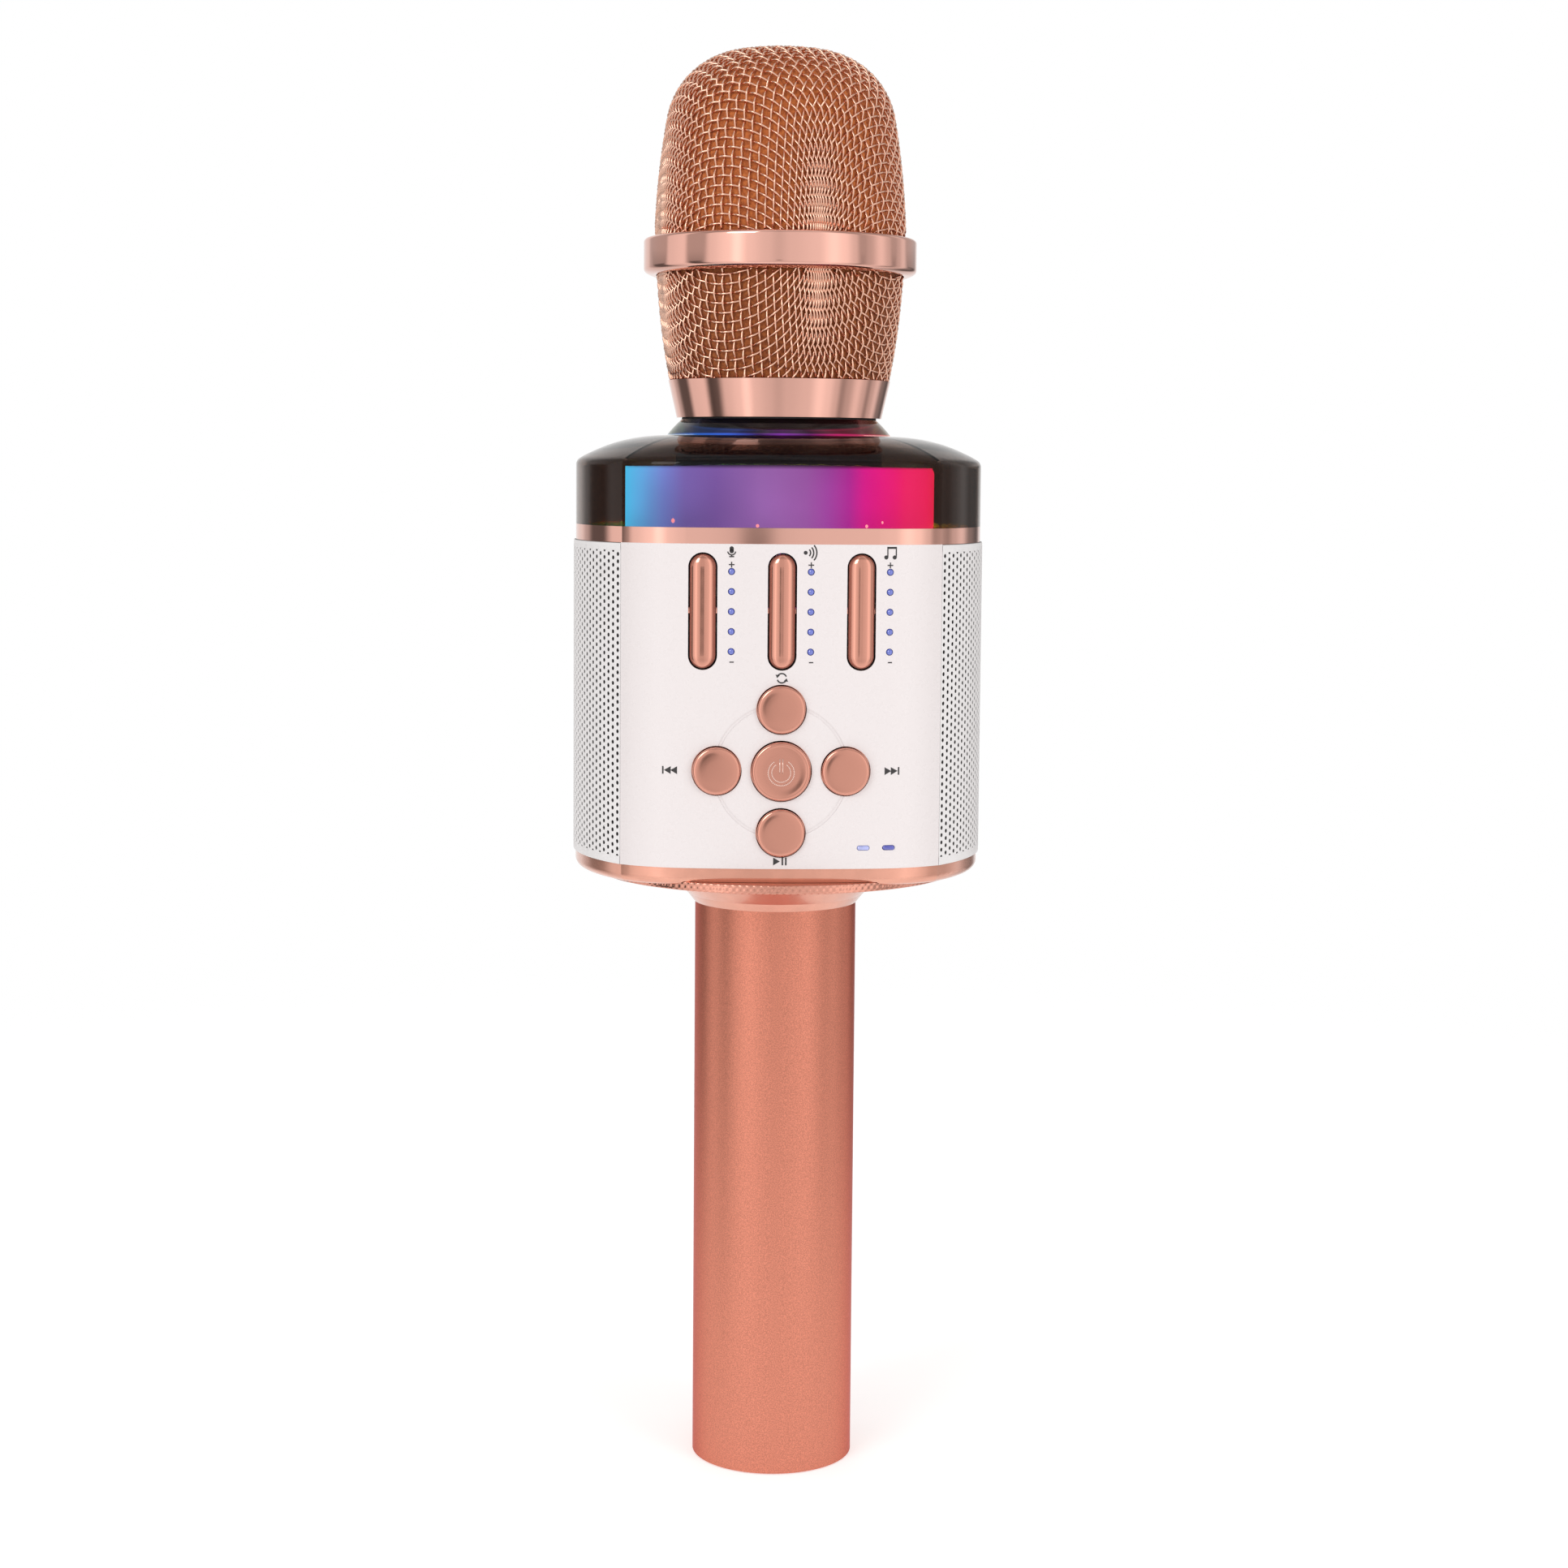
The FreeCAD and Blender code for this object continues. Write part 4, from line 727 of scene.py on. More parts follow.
def cut_line(line, normals, low, high):
    """The stretches of a line between two heights, ending exactly on them."""
    pieces = []
    for start, end in stretches((line[:, 2] >= low) & (line[:, 2] <= high)):
        points = list(line[start:end])
        ways = list(normals[start:end])
        for outer, inner in ((start - 1, start), (end, end - 1)):
            if not 0 <= outer < len(line):
                continue
            limit = high if line[outer, 2] > high else low
            share = (limit - line[inner, 2]) / (line[outer, 2] - line[inner, 2])
            place = 0 if outer < inner else len(points)
            points.insert(place, line[inner] + share * (line[outer] - line[inner]))
            ways.insert(place, normals[inner])
        pieces.append((np.array(points), np.array(ways)))
    return pieces


def tubes(lines, radius):
    """Round wires along lines of (points, normals)."""
    shape = Shape()
    angles = np.arange(WIRE_SIDES) * 2 * math.pi / WIRE_SIDES
    for line, normals in lines:
        ahead = np.gradient(line, axis=0)
        ahead /= np.linalg.norm(ahead, axis=1)[:, None]
        side = np.cross(ahead, normals)
        side /= np.linalg.norm(side, axis=1)[:, None]
        up = np.cross(side, ahead)
        ways = np.cos(angles)[:, None] * side[:, None] + np.sin(angles)[:, None] * up[:, None]
        rings = line[:, None] + radius * ways
        shape.add(rings.reshape(-1, 3), skin(len(line), WIRE_SIDES))
    return shape


def weave(node, outline, low, high):
    """Two pieces, warp and weft, of wire cloth drawn over an outline between two heights."""
    surface = TurnedSurface(outline)
    net = woven_net(surface, int(surface.along[-1] / MESH_PITCH) + 2)
    for family, phase in (("warp", 1), ("weft", -1)):
        grid = net if family == "warp" else np.transpose(net, (1, 0, 2))
        lines = []
        for row in range(len(net)):
            wire = grid[:, row]
            for start, end in stretches(~np.isnan(wire).any(axis=1)):
                signs = [phase * (-1) ** (row + k) for k in range(start, end)]
                line, normals = wire_line(surface, wire[start:end], signs)
                lines.extend(cut_line(line, normals, low, high))
        new_piece(f"{node}_{family}", tubes(lines, WIRE_RADIUS), "rose_wire", "head", (node,))


def inset_outline(outline, inset):
    """An outline moved inwards by inset."""
    surface = TurnedSurface(outline)
    between = (surface.normals[1:] + surface.normals[:-1]) / 2
    normals = np.vstack([surface.normals[:1], between, surface.normals[-1:]])
    normals /= np.linalg.norm(normals, axis=1)[:, None]
    moved = surface.line - normals * inset
    moved[:, 0] = np.maximum(moved[:, 0], 0)
    moved[0, 0] = 0 if outline[0][0] < 1e-6 else moved[0, 0]
    return moved


def make_woven_head():
    """The drawn dome above the band and the tapering cup below it."""
    upper = outer_profile("grille_upper")
    upper[0, 0] = 0
    inset = WIRE_WAVE + WIRE_RADIUS
    weave("grille_upper", inset_outline(upper, inset), box_mm("grille_upper")[0][2] + 0.05, math.inf)
    lower = outer_profile("grille_lower")[::-1]
    low, high = box_mm("grille_lower")
    foot_radius, foot = lower[0]
    steps = np.radians(np.linspace(0, 88, 24))
    bowl = [(foot_radius * math.sin(a), foot - BOWL_DEPTH * math.cos(a)) for a in steps]
    weave("grille_lower", inset_outline(np.vstack([bowl, lower]), inset), low[2] + 0.05, high[2] - 0.4)


ROLL_POWER = 3.2  # how tightly the band's lower edge is rolled under


def make_band():
    """The polished ring between the cups, its lower edge rolled under."""
    low, high = (corner[2] for corner in box_mm("grille_band"))
    cad = vertices_mm("grille_band")
    heights = cad[:, 2]
    reach = np.hypot(cad[:, 0], cad[:, 1])
    radius, bore = reach.max(), reach.min()
    face = heights[reach > radius - 0.02]
    shelf = heights[reach < bore + 0.02]
    at_foot, at_top = reach[heights < low + 0.02], reach[heights > high - 0.02]
    rise, drop = face.min() - low, high - face.max()
    roll = np.linspace(0, 1, 12)
    outline = [(radius - (radius - at_foot.max()) * (1 - t) ** ROLL_POWER, low + rise * t) for t in roll]
    back = radius - at_top.max()
    corner = np.radians(np.linspace(0, 90, 8))
    outline += [(radius - back + back * math.cos(a), face.max() + drop * math.sin(a)) for a in corner]
    outline += [(at_top.min(), high), (at_top.min(), shelf.max()), (bore, shelf.max())]
    outline += [(bore, shelf.min()), (at_foot.min(), shelf.min()), (at_foot.min(), low)]
    ring = Shape(*revolve(outline, 192))
    new_piece("band_ring", ring, "rose_chrome", "head", ("grille_band",), 40, True)


# ---------------------------------------------------------------- foam


def wrinkle(points, amount, seed):
    """Push points in and out a little, the same way each run."""
    random = np.random.default_rng(seed)
    points = np.asarray(points)
    waves = random.normal(size=(14, 3)) * 1.3
    phases = random.uniform(0, 2 * math.pi, 14)
    height = np.sin(points @ waves.T + phases).sum(1) / 14
    grain = random.normal(size=len(points)) * 0.35
    radial = points / np.maximum(np.linalg.norm(points[:, :2], axis=1), 1)[:, None]
    radial[:, 2] = 0
    return points + radial * ((height + grain * 0.5) * amount)[:, None]


FOAM_WALL = 2.2


def make_foam():
    """Open-cell liners just inside the wire."""
    # the lower liner takes the darker copy of the foam as painted shade under the band
    for name, paint, seed in (("foam_upper", "foam", 3), ("foam_lower", "foam_painted_shade", 5)):
        outer = outer_profile(name)
        if name == "foam_upper":
            outer[0, 0] = 0
        surface = TurnedSurface(outer)
        along = np.linspace(0, surface.along[-1], 90)
        outside = np.column_stack([np.interp(along, surface.along, side) for side in surface.line.T])
        inside = inset_outline(outside, FOAM_WALL)[::-1]
        points, faces = revolve([*outside, *inside], 300)
        shape = Shape(wrinkle(points, 0.12, seed), faces)
        new_piece(name + "_cells", shape, paint, "head", (name,))


# ---------------------------------------------------------------- perforated wrap


HOLE_COLUMN = 1.37
HOLE_ROW = 1.30
HOLE_RADIUS = 0.39
GRILLE_BORDER = 0.75


class Wrap:
    """Measures of the perforated wrap: its edges, its grid of holes and its opening for the ports."""

    def __init__(self):
        self.low, self.high = (corner[2] for corner in box_mm("speaker_grille"))
        points = vertices_mm("speaker_grille")
        radii = np.hypot(points[:, 0], points[:, 1])
        self.radius, self.inner = radii.max(), radii.min()
        self.start = np.abs(np.arctan2(points[:, 0], -points[:, 1])).min()
        around = 2 * (math.pi - self.start)
        self.columns = int(around * self.radius / HOLE_COLUMN)
        self.step = around / self.columns
        tall = self.high - self.low - 2 * GRILLE_BORDER
        self.rows = int(tall / HOLE_ROW - 0.5)
        self.pitch = tall / (self.rows + 0.5)
        self.foot = self.low + GRILLE_BORDER + self.pitch / 2
        port_low, port_high = box_mm("port_plate")
        self.port_low, self.port_high = port_low[2], port_high[2]
        self.port_half = math.asin(port_high[0] / self.radius) + 0.01

    def spot(self, bearing, height, reach):
        return reach * math.sin(bearing), -reach * math.cos(bearing), height

    def at_ports(self, bearing, height):
        beside = abs(bearing - math.pi) < self.port_half + self.step / 2
        return beside and height < self.port_high + 0.2 + self.pitch / 2


def perforated_part(wrap, columns):
    """A stretch of the wrap: cells with a round hole each, in staggered columns."""
    points = []
    lookup = {}
    faces = []

    def vertex(bearing, height, reach):
        key = (round(bearing * 1e5), round(height * 1e4), reach)
        if key not in lookup:
            lookup[key] = len(points)
            points.append(wrap.spot(bearing, height, reach))
        return lookup[key]

    for column in columns:
        bearing = wrap.start + (column + 0.5) * wrap.step
        for row in range(wrap.rows):
            height = wrap.foot + (row + 0.5 * (column % 2)) * wrap.pitch
            if wrap.at_ports(bearing, height):
                continue
            rim = []
            hole = []
            for angle in np.arange(8) * math.pi / 4:
                across, up = math.cos(angle), math.sin(angle)
                rim.append((bearing + round(across) * wrap.step / 2, height + round(up) * wrap.pitch / 2))
                hole.append((bearing + HOLE_RADIUS * across / wrap.radius, height + HOLE_RADIUS * up))
            for corner in range(8):
                after = (corner + 1) % 8
                loop = (rim[corner], rim[after], hole[after], hole[corner])
                front = [vertex(*place, wrap.radius) for place in loop]
                back = [vertex(*place, wrap.inner) for place in loop]
                faces += [front, back[::-1], (front[3], front[2], back[2], back[3])]
    return Shape(points, faces)


def make_perforated_wrap():
    """The speaker wrap with its real holes, in three stretches that share their edges."""
    wrap = Wrap()
    cuts = [wrap.columns * third // 3 for third in range(4)]
    for first, last, side in zip(cuts, cuts[1:], ("right", "rear", "left")):
        shape = perforated_part(wrap, range(first, last))
        name = "speaker_wrap_" + side
        new_piece(name, shape, "white_grille", "body", ("speaker_grille",), 35)
    shape = wrap_borders(wrap)
    new_piece("speaker_wrap_edges", shape, "white_grille", "body", ("speaker_grille",), 35)


def wrap_borders(wrap):
    """Plain edges of the wrap: along the top and bottom, down both seams and round the ports."""
    shape = Shape()
    face = wrap.radius - 0.01
    gap = 0.15
    end = 2 * math.pi - wrap.start

    def strip(start, end, count, outline):
        """A closed outline (radius, height) carried from one bearing to another."""
        around = np.linspace(start, end, count)
        shape.sweep([[wrap.spot(b, height, reach) for reach, height in outline[::-1]] for b in around])

    def band(start, end, count, low, high):
        strip(start, end, count, [(wrap.inner, low), (face, low), (face, high), (wrap.inner, high)])

    top_low = wrap.foot + (wrap.rows - 0.5) * wrap.pitch
    edge = [(wrap.inner, top_low), (face, top_low), (face, wrap.high - 0.35)]
    edge += [(wrap.radius - 0.1, wrap.high - 0.1), (wrap.radius - 0.35, wrap.high), (wrap.inner, wrap.high)]
    strip(wrap.start, end, 240, edge)
    left, right = math.pi - wrap.port_half, math.pi + wrap.port_half
    band(wrap.start, left, 100, wrap.low, wrap.foot + 0.02)
    band(right, end, 100, wrap.low, wrap.foot + 0.02)
    over = wrap.port_high + gap
    band(left - wrap.step, right + wrap.step, 40, over, over + wrap.pitch * 1.6)
    band(left, right, 40, wrap.low, wrap.port_low - gap)
    for near, away in ((left, -1), (right, 1)):
        band(near, near + away * wrap.step * 1.3, 6, wrap.low, over)
    seam = wrap.step * 0.12
    for start in (wrap.start, end - seam):
        band(start, start + seam, 3, wrap.low, wrap.high - 0.2)
    return shape


# ---------------------------------------------------------------- knurled ring and thread


KNURL_TEETH = 170
KNURL_DEPTH = 0.16
KNURL_LEAN = 1.1  # tooth pitches of lean over the ring's height
THREAD_DEPTH = 0.6
THREAD_PITCH = 1.5


def make_knurled_ring():
    """A ring with fine crossed knurling all round."""
    low, high = box_mm("knurled_ring")
    radius = high[0]
    inner = radius - 0.4
    bevel = radius - 0.15
    rows = np.linspace(low[2] + 0.1, high[2] - 0.1, 9)
    outline = [(inner, low[2]), (bevel, low[2])]
    outline += [(radius, height) for height in rows]
    outline += [(bevel, high[2]), (inner, high[2])]
    points, faces = revolve(outline, KNURL_TEETH * 4)
    points = np.array(points)
    reach = np.hypot(points[:, 0], points[:, 1])
    lean = KNURL_LEAN * (points[:, 2] - low[2]) / (high[2] - low[2])
    turns = np.arctan2(points[:, 1], points[:, 0]) * KNURL_TEETH / (2 * math.pi)
    left, right = (np.abs((way % 1) * 2 - 1) for way in (turns + lean, turns - lean))
    groove = KNURL_DEPTH * (1 - np.minimum(left, right) * 2).clip(0, 1)
    on_face = reach > radius - 0.01
    points[on_face, :2] *= ((reach - groove) / reach)[on_face, None]
    shape = Shape(points, faces)
    new_piece("knurl_teeth", shape, "key_chrome", "body", ("knurled_ring",), 60)


def make_threaded_spigot():
    """The spigot with its flange and a helical ridge."""
    low, high = box_mm("neck_spigot")
    cad = vertices_mm("neck_spigot")
    reach = np.hypot(cad[:, 0], cad[:, 1])
    at_top = reach[np.abs(cad[:, 2] - high[2]) < 0.01]
    crest, bore = at_top.max(), at_top.min()
    flange, web_bore = high[0], reach.min()
    flange_top = cad[reach > flange - 0.01][:, 2].max()
    web_top = cad[reach < web_bore + 0.01][:, 2].max()
    core = crest - THREAD_DEPTH
    outline = [(web_bore, low[2]), (flange, low[2]), (flange, flange_top), (core, flange_top)]
    outline += [(core, high[2]), (bore, high[2]), (bore, web_top), (web_bore, web_top)]
    shape = Shape(*revolve(outline, 96))
    root = core - 0.05
    section = [(root, -0.62), (crest, -0.12), (crest, 0.12), (root, 0.62)]
    turns = (high[2] - flange_top - 2.6) / THREAD_PITCH
    rings = []
    for share in np.linspace(0, 1, int(turns * 72) + 1):
        angle = turns * 2 * math.pi * share
        middle = flange_top + 1.5 + share * turns * THREAD_PITCH
        fade = min(1, share * turns * 6, (1 - share) * turns * 6)
        reaches = [(root + (radius - root) * fade, middle + offset) for radius, offset in section]
        rings.append([(r * math.cos(angle), r * math.sin(angle), height) for r, height in reaches])
    shape.sweep(rings)
    new_piece("spigot_thread", shape, "black_plastic", "body", ("neck_spigot",), 35)


# ---------------------------------------------------------------- lights on the panel


BEAD_CROWN = 0.42


def make_level_lights():
    """Domed blue beads, each a little proud of the panel."""
    shape = Shape()
    for low, high in islands_mm("level_lights"):
        radius = (high[0] - low[0]) / 2
        x, _, z = (low + high) / 2
        crown = np.radians(np.linspace(85, 0, 9))
        outline = [(0.0, 0.0)]
        outline += [(radius * math.cos(a), BEAD_CROWN * (1 - math.sin(a))) for a in crown]
        outline += [(radius, high[1] - low[1]), (0.0, high[1] - low[1])]
        shape.add(*revolve(outline, 20, closed=False), lambda p: (x + p[0], low[1] + p[2], z + p[1]))
    new_piece("level_beads", shape, "level_light", "body", ("level_lights",), 50)


def make_status_lights():
    """Two pill-shaped lenses, pale and deep blue."""
    pills = sorted(islands_mm("status_lights"), key=lambda pair: pair[0][0])
    for (low, high), name in zip(pills, ("status_pale", "status_blue")):
        radius = (high[2] - low[2]) / 2
        half = (high[0] - low[0]) / 2 - radius
        x, _, z = (low + high) / 2
        front = low[1]
        rings = []
        for inset, y in ((0, high[1]), (0, front + 0.1), (0.06, front + 0.02), (0.2, front - 0.05)):
            reach = radius - inset
            ring = []
            for angle in np.radians(np.arange(0, 360, 18) + 9):
                end = x + math.copysign(half, math.cos(angle))
                ring.append((end + reach * math.cos(angle), y, z + reach * math.sin(angle)))
            rings.append(ring)
        shape = Shape()
        shape.sweep(rings)
        new_piece(name, shape, name, "body", ("status_lights",), 50)


# ---------------------------------------------------------------- keys and buttons


KEY_CROWN = 1.35  # how far a key's face stands above its straight sides
KEY_GROOVE = 0.05  # depth of the shallow valley along a key's face
KEY_STEPS = 26


def key_section():
    """Across a key: share of its half width, and how far forward, from edge to edge."""
    share = np.sin(np.linspace(-math.pi / 2, math.pi / 2, KEY_STEPS))
    crown = KEY_CROWN * np.sqrt(np.clip(1 - share**2, 0, 1))
    valley = KEY_GROOVE * np.exp(-(((share + 0.02) / 0.2) ** 2))
    return share, crown - valley


def make_key(name):
    """A pill-shaped metallised key with a crowned face, its trunnions and its flat sole."""
    node = "rocker_" + name
    low, high = box_mm(node)
    cad = vertices_mm(node)
    middle = (low[2] + high[2]) / 2
    pill = cad[np.abs(cad[:, 2] - middle) > 1.5][:, 0]
    x = (pill.min() + pill.max()) / 2
    half = (pill.max() - pill.min()) / 2
    straight = (high[2] - low[2]) / 2 - half
    share, crown = key_section()
    shoulder = low[1] + crown.max()
    # stations along the key: (height of the section's middle, how much of its width is left)
    turns = np.radians(np.linspace(0, 84, 9))
    top = [(middle + straight + half * math.sin(a), math.cos(a)) for a in turns[::-1]]
    sides = [(middle + straight * t, 1.0) for t in np.linspace(0.9, -0.9, 7)]
    foot = [(middle - straight - half * math.sin(a), math.cos(a)) for a in turns]
    points = []
    for height, width in [*top, *sides, *foot]:
        face = [(x + part * half * width, shoulder - rise * width**0.6) for part, rise in zip(share, crown)]
        points += [(across, y, height) for across, y in face]
    count = len(share)
    rows = len(points) // count
    starts = [row * count + column for row in range(rows - 1) for column in range(count - 1)]
    shape = Shape(points, [(a, a + count, a + count + 1, a + 1) for a in starts])
    rim = [row * count for row in range(rows)]
    rim += [(rows - 1) * count + column for column in range(1, count)]
    rim += [row * count + count - 1 for row in reversed(range(rows - 1))]
    rim += list(range(count - 2, 0, -1))
    base = len(points)
    shape.points += [(points[index][0], high[1], points[index][2]) for index in rim]
    for k, index in enumerate(rim):
        after = (k + 1) % len(rim)
        shape.faces.append((index, rim[after], base + after, base + k))
    shape.faces.append(tuple(reversed(range(base, base + len(rim)))))
    axle = cad[np.abs(cad[:, 0] - x) > half + 0.05]
    y, z = (axle[:, 1].min() + axle[:, 1].max()) / 2, (axle[:, 2].min() + axle[:, 2].max()) / 2
    radius = (axle[:, 2].max() - axle[:, 2].min()) / 2
    outline = [(0, low[0]), (radius, low[0]), (radius, high[0]), (0, high[0])]
    shape.add(*revolve(outline, 24, closed=False), lambda p: (p[2], y + p[0], z + p[1]))
    new_piece("key_" + name, shape, "key_chrome", node, (node,), 50, True)


BUTTON_SECTION = [
    (1.0, 0.55),
    (0.995, 0.40),
    (0.98, 0.27),
    (0.955, 0.17),
    (0.92, 0.10),
    (0.87, 0.055),
    (0.80, 0.03),
    (0.65, 0.012),
    (0.40, 0.003),
    (0.0, 0.0),
]
POWER_SECTION = [
    (1.0, 0.55),
    (0.995, 0.36),
    (0.98, 0.20),
    (0.955, 0.08),
    (0.925, 0.015),
    (0.90, 0.0),
    (0.875, 0.02),
    (0.85, 0.06),
    (0.81, 0.085),
    (0.60, 0.095),
    (0.0, 0.095),
]


def make_button(name):
    """A round metallised button: rolled edge, face, flange and stem."""
    node = "button_" + name
    low, high = box_mm(node)
    cad = vertices_mm(node)
    x, _, z = (low + high) / 2
    depth = cad[:, 1]
    reach = np.hypot(cad[:, 0] - x, cad[:, 2] - z)
    front, back = low[1], high[1]
    cap, flange = reach[depth < front + 1.0].max(), reach.max()
    stem = reach[depth > back - 0.02].max()
    plate = depth[reach > flange - 0.02]
    section = POWER_SECTION if name == "power" else BUTTON_SECTION
    outline = [(share * cap, front + drop) for share, drop in reversed(section)]
    outline += [(cap, plate.min()), (flange, plate.min()), (flange, plate.max())]
    outline += [(stem, plate.max()), (stem, back), (0, back)]
    shape = Shape()
    shape.add(*revolve(outline, 72, closed=False), lambda p: (x + p[0], p[2], z + p[1]))
    new_piece("cap_" + name, shape, "key_chrome", node, (node,), 50, True)


def make_power_mark():
    """A raised broken ring and stroke on the power button, the common sign for power."""
    low, high = box_mm("button_power")
    x, _, z = (low + high) / 2
    face = low[1] + 0.11
    press = Print(lambda _x, _z: face, 0.16)
    for radius in (2.28, 1.66):
        press.arc((x, z - 0.15), radius, 122, 418, 0.22, 40)
    for side in (-0.26, 0.26):
        press.bar((x + side, z + 1.0), 0.18, 2.6)
    new_piece("power_mark", press, "mark_chrome", "button_power", outwards=True)


def make_keys_and_buttons():
    """Every part of the panel that a finger presses."""
    for name in ("mic", "echo", "music"):
        make_key(name)
    for name in ("mode", "prev", "power", "next", "play"):
        make_button(name)
    make_power_mark()


# ---------------------------------------------------------------- board parts


LEG_PITCH = 0.9


def make_board_parts():
    """Chips and small chip resistors on the inner face of the button board."""
    back = box_mm("button_board")[1][1]
    chips = Shape()
    resistors = Shape()
    solder = Shape()

    def block(shape, x, z, half_wide, half_tall, depth):
        shape.box((x - half_wide, back, z - half_tall), (x + half_wide, back + depth, z + half_tall))

    for x, z, wide, tall in ((-12.0, 141.0, 5.0, 4.0), (9.0, 150.0, 7.0, 7.0), (-6.0, 127.0, 4.0, 5.0)):
        block(chips, x, z, wide / 2, tall / 2, 1.1)
        for step in range(int(tall / LEG_PITCH)):
            for side in (-1, 1):
                edge = x + side * (wide / 2 + 0.35)
                block(solder, edge, z - tall / 2 + 0.4 + step * LEG_PITCH, 0.35, 0.18, 0.25)
    for row in range(5):
        for column in range(4):
            x = -16.0 + column * 2.4 + 0.4 * (row % 2)
            z = 148.0 + row * 2.1
            block(resistors, x, z, 0.5, 0.4, 0.45)
            for side in (-1, 1):
                block(solder, x + side * 0.65, z, 0.15, 0.4, 0.47)
    new_piece("board_chips", chips, "switch", "body", smooth=False)
    new_piece("board_passives", resistors, "black_plastic", "body", smooth=False)
    new_piece("board_solder", solder, "socket_metal", "body", smooth=False)


# Painted reflections of the lamps in the inner cover, as bright points at the drum's foot: (x, height above
# the trim, radius).
PAINTED_GLINTS = ((-19.2, 1.0, 0.42), (-4.4, 0.35, 0.3), (14.9, 0.3, 0.3), (17.8, 0.95, 0.24))


def make_painted_drum_glints():
    """Small glowing points at the foot of the drum: painted reflections of the lamps in the inner cover."""
    radius = box_mm("light_diffuser")[1][0]
    foot = box_mm("trim_ring")[1][2]
    shape = Shape()
    for x, rise, size in PAINTED_GLINTS:
        y = -math.sqrt(radius**2 - x**2)
        turns = np.radians(np.linspace(0, 180, 9))
        outline = [(size * math.sin(a), size * 0.3 * math.cos(a)) for a in turns]
        tip = Matrix.Rotation(math.atan2(x, -y), 4, "Z") @ Matrix.Rotation(math.radians(90), 4, "X")
        place = Matrix.Translation((x, y, foot + rise)) @ tip
        shape.add(*revolve(outline, 14, closed=False), lambda p: place @ Vector(p))
    new_piece("painted_drum_glints", shape, "painted_glint", "body")


# ---------------------------------------------------------------- printed symbols


def surface_finder(node):
    """A function from (x, z) to the node's front surface, in millimetres."""
    faces = [tuple(polygon.vertices) for polygon in NODES[node].data.polygons]
    tree = BVHTree.FromPolygons([Vector(point) for point in vertices_mm(node)], faces)

    def forward(x, z):
        hit = tree.ray_cast(Vector((x, -60, z)), Vector((0, 1, 0)))[0]
        return hit.y if hit else None

    return forward


class Print(Shape):
    """Flat ink shapes laid on a surface. Shapes are drawn round a centre, in millimetres."""

    def __init__(self, forward, thickness=0.035):
        super().__init__()
        self.forward = forward
        self.thickness = thickness

    def polygon(self, outline):
        """A filled outline (x, z), anticlockwise seen from the front."""
        depths = [self.forward(x, z) for x, z in outline]
        nearest = min(y for y in depths if y is not None)
        places = [(x, nearest if y is None else y, z) for (x, z), y in zip(outline, depths)]
        self.sweep([[(x, y - lift, z) for x, y, z in places] for lift in (-0.01, self.thickness)])

    def stroke(self, line, width):
        """A line of even width, one quad per run, with square ends."""
        line = np.array(line, float)
        ahead = np.gradient(line, axis=0)
        ahead /= np.linalg.norm(ahead, axis=1)[:, None]
        side = np.column_stack([-ahead[:, 1], ahead[:, 0]]) * width / 2
        right, left = line - side, line + side
        for k in range(len(line) - 1):
            self.polygon([right[k], right[k + 1], left[k + 1], left[k]])

    def arc(self, centre, radius, start, end, width, count=14):
        angles = np.radians(np.linspace(start, end, count))
        self.stroke(around(centre, radius, angles), width)

    def disc(self, centre, radius, count=20):
        self.polygon(around(centre, radius, np.arange(count) * 2 * math.pi / count))

    def triangle(self, centre, size, way=1):
        x, z = centre
        back = x - way * size * 0.45
        corners = [(back, z - size * 0.55), (x + way * size * 0.5, z), (back, z + size * 0.55)]
        self.polygon(corners[::way])

    def bar(self, centre, width, height):
        x, z = centre
        left, right, low, high = x - width / 2, x + width / 2, z - height / 2, z + height / 2
        self.polygon([(left, low), (right, low), (right, high), (left, high)])


def around(centre, radius, angles):
    """Points at angles on a circle."""
    return [(centre[0] + radius * math.cos(a), centre[1] + radius * math.sin(a)) for a in angles]


def make_panel_symbols():
    """Plain function symbols beside the keys and buttons."""
    press = Print(surface_finder("control_panel"))
    line = 0.24
    beads = [(low + high) / 2 for low, high in islands_mm("level_lights")]
    columns = sorted({round(x, 1) for x, _, z in beads})
    top = max(bead[2] for bead in beads)
    foot = min(bead[2] for bead in beads)
    for x in columns:
        press.bar((x, top + 1.2), 1.0, 0.2)
        press.bar((x, top + 1.2), 0.2, 1.0)
        press.bar((x + 0.1, foot - 1.85), 0.75, 0.2)
    for x, draw in zip(columns, (draw_microphone, draw_echo, draw_note)):
        draw(press, (x, top + 3.35), line)
    flange = 0.5  # how far each button's flange reaches past its cap, behind the panel
    draw_cycle(press, (0, box_mm("button_mode")[1][2] - flange + 1.35), line)
    prev_low, prev_high = box_mm("button_prev")
    level = (prev_low[2] + prev_high[2]) / 2
    draw_skip(press, (prev_low[0] + flange - 3.9, level), -1)
    draw_skip(press, (box_mm("button_next")[1][0] - flange + 3.9, level), 1)
    below = box_mm("button_play")[0][2] + flange - 0.85
    press.triangle((-0.72, below), 1.25)
    for x in (0.35, 0.95):
        press.bar((x, below), 0.28, 1.35)
    new_piece("panel_symbols", press, "ink", "body", smooth=False)


def draw_microphone(press, centre, line):
    x, z = centre
    press.disc((x, z + 0.68), 0.36)
    press.bar((x, z + 0.42), 0.72, 0.52)
    press.disc((x, z + 0.18), 0.36)
    press.arc((x, z + 0.24), 0.7, 190, 350, line * 0.9)
    press.bar((x, z - 0.6), line * 0.9, 0.3)
    press.bar((x, z - 0.75), 0.85, line * 0.9)


def draw_echo(press, centre, line):
    x, z = centre
    press.disc((x - 1.0, z), 0.34)
    for radius in (0.85, 1.4, 1.95):
        press.arc((x - 1.0, z), radius, -42, 42, line)


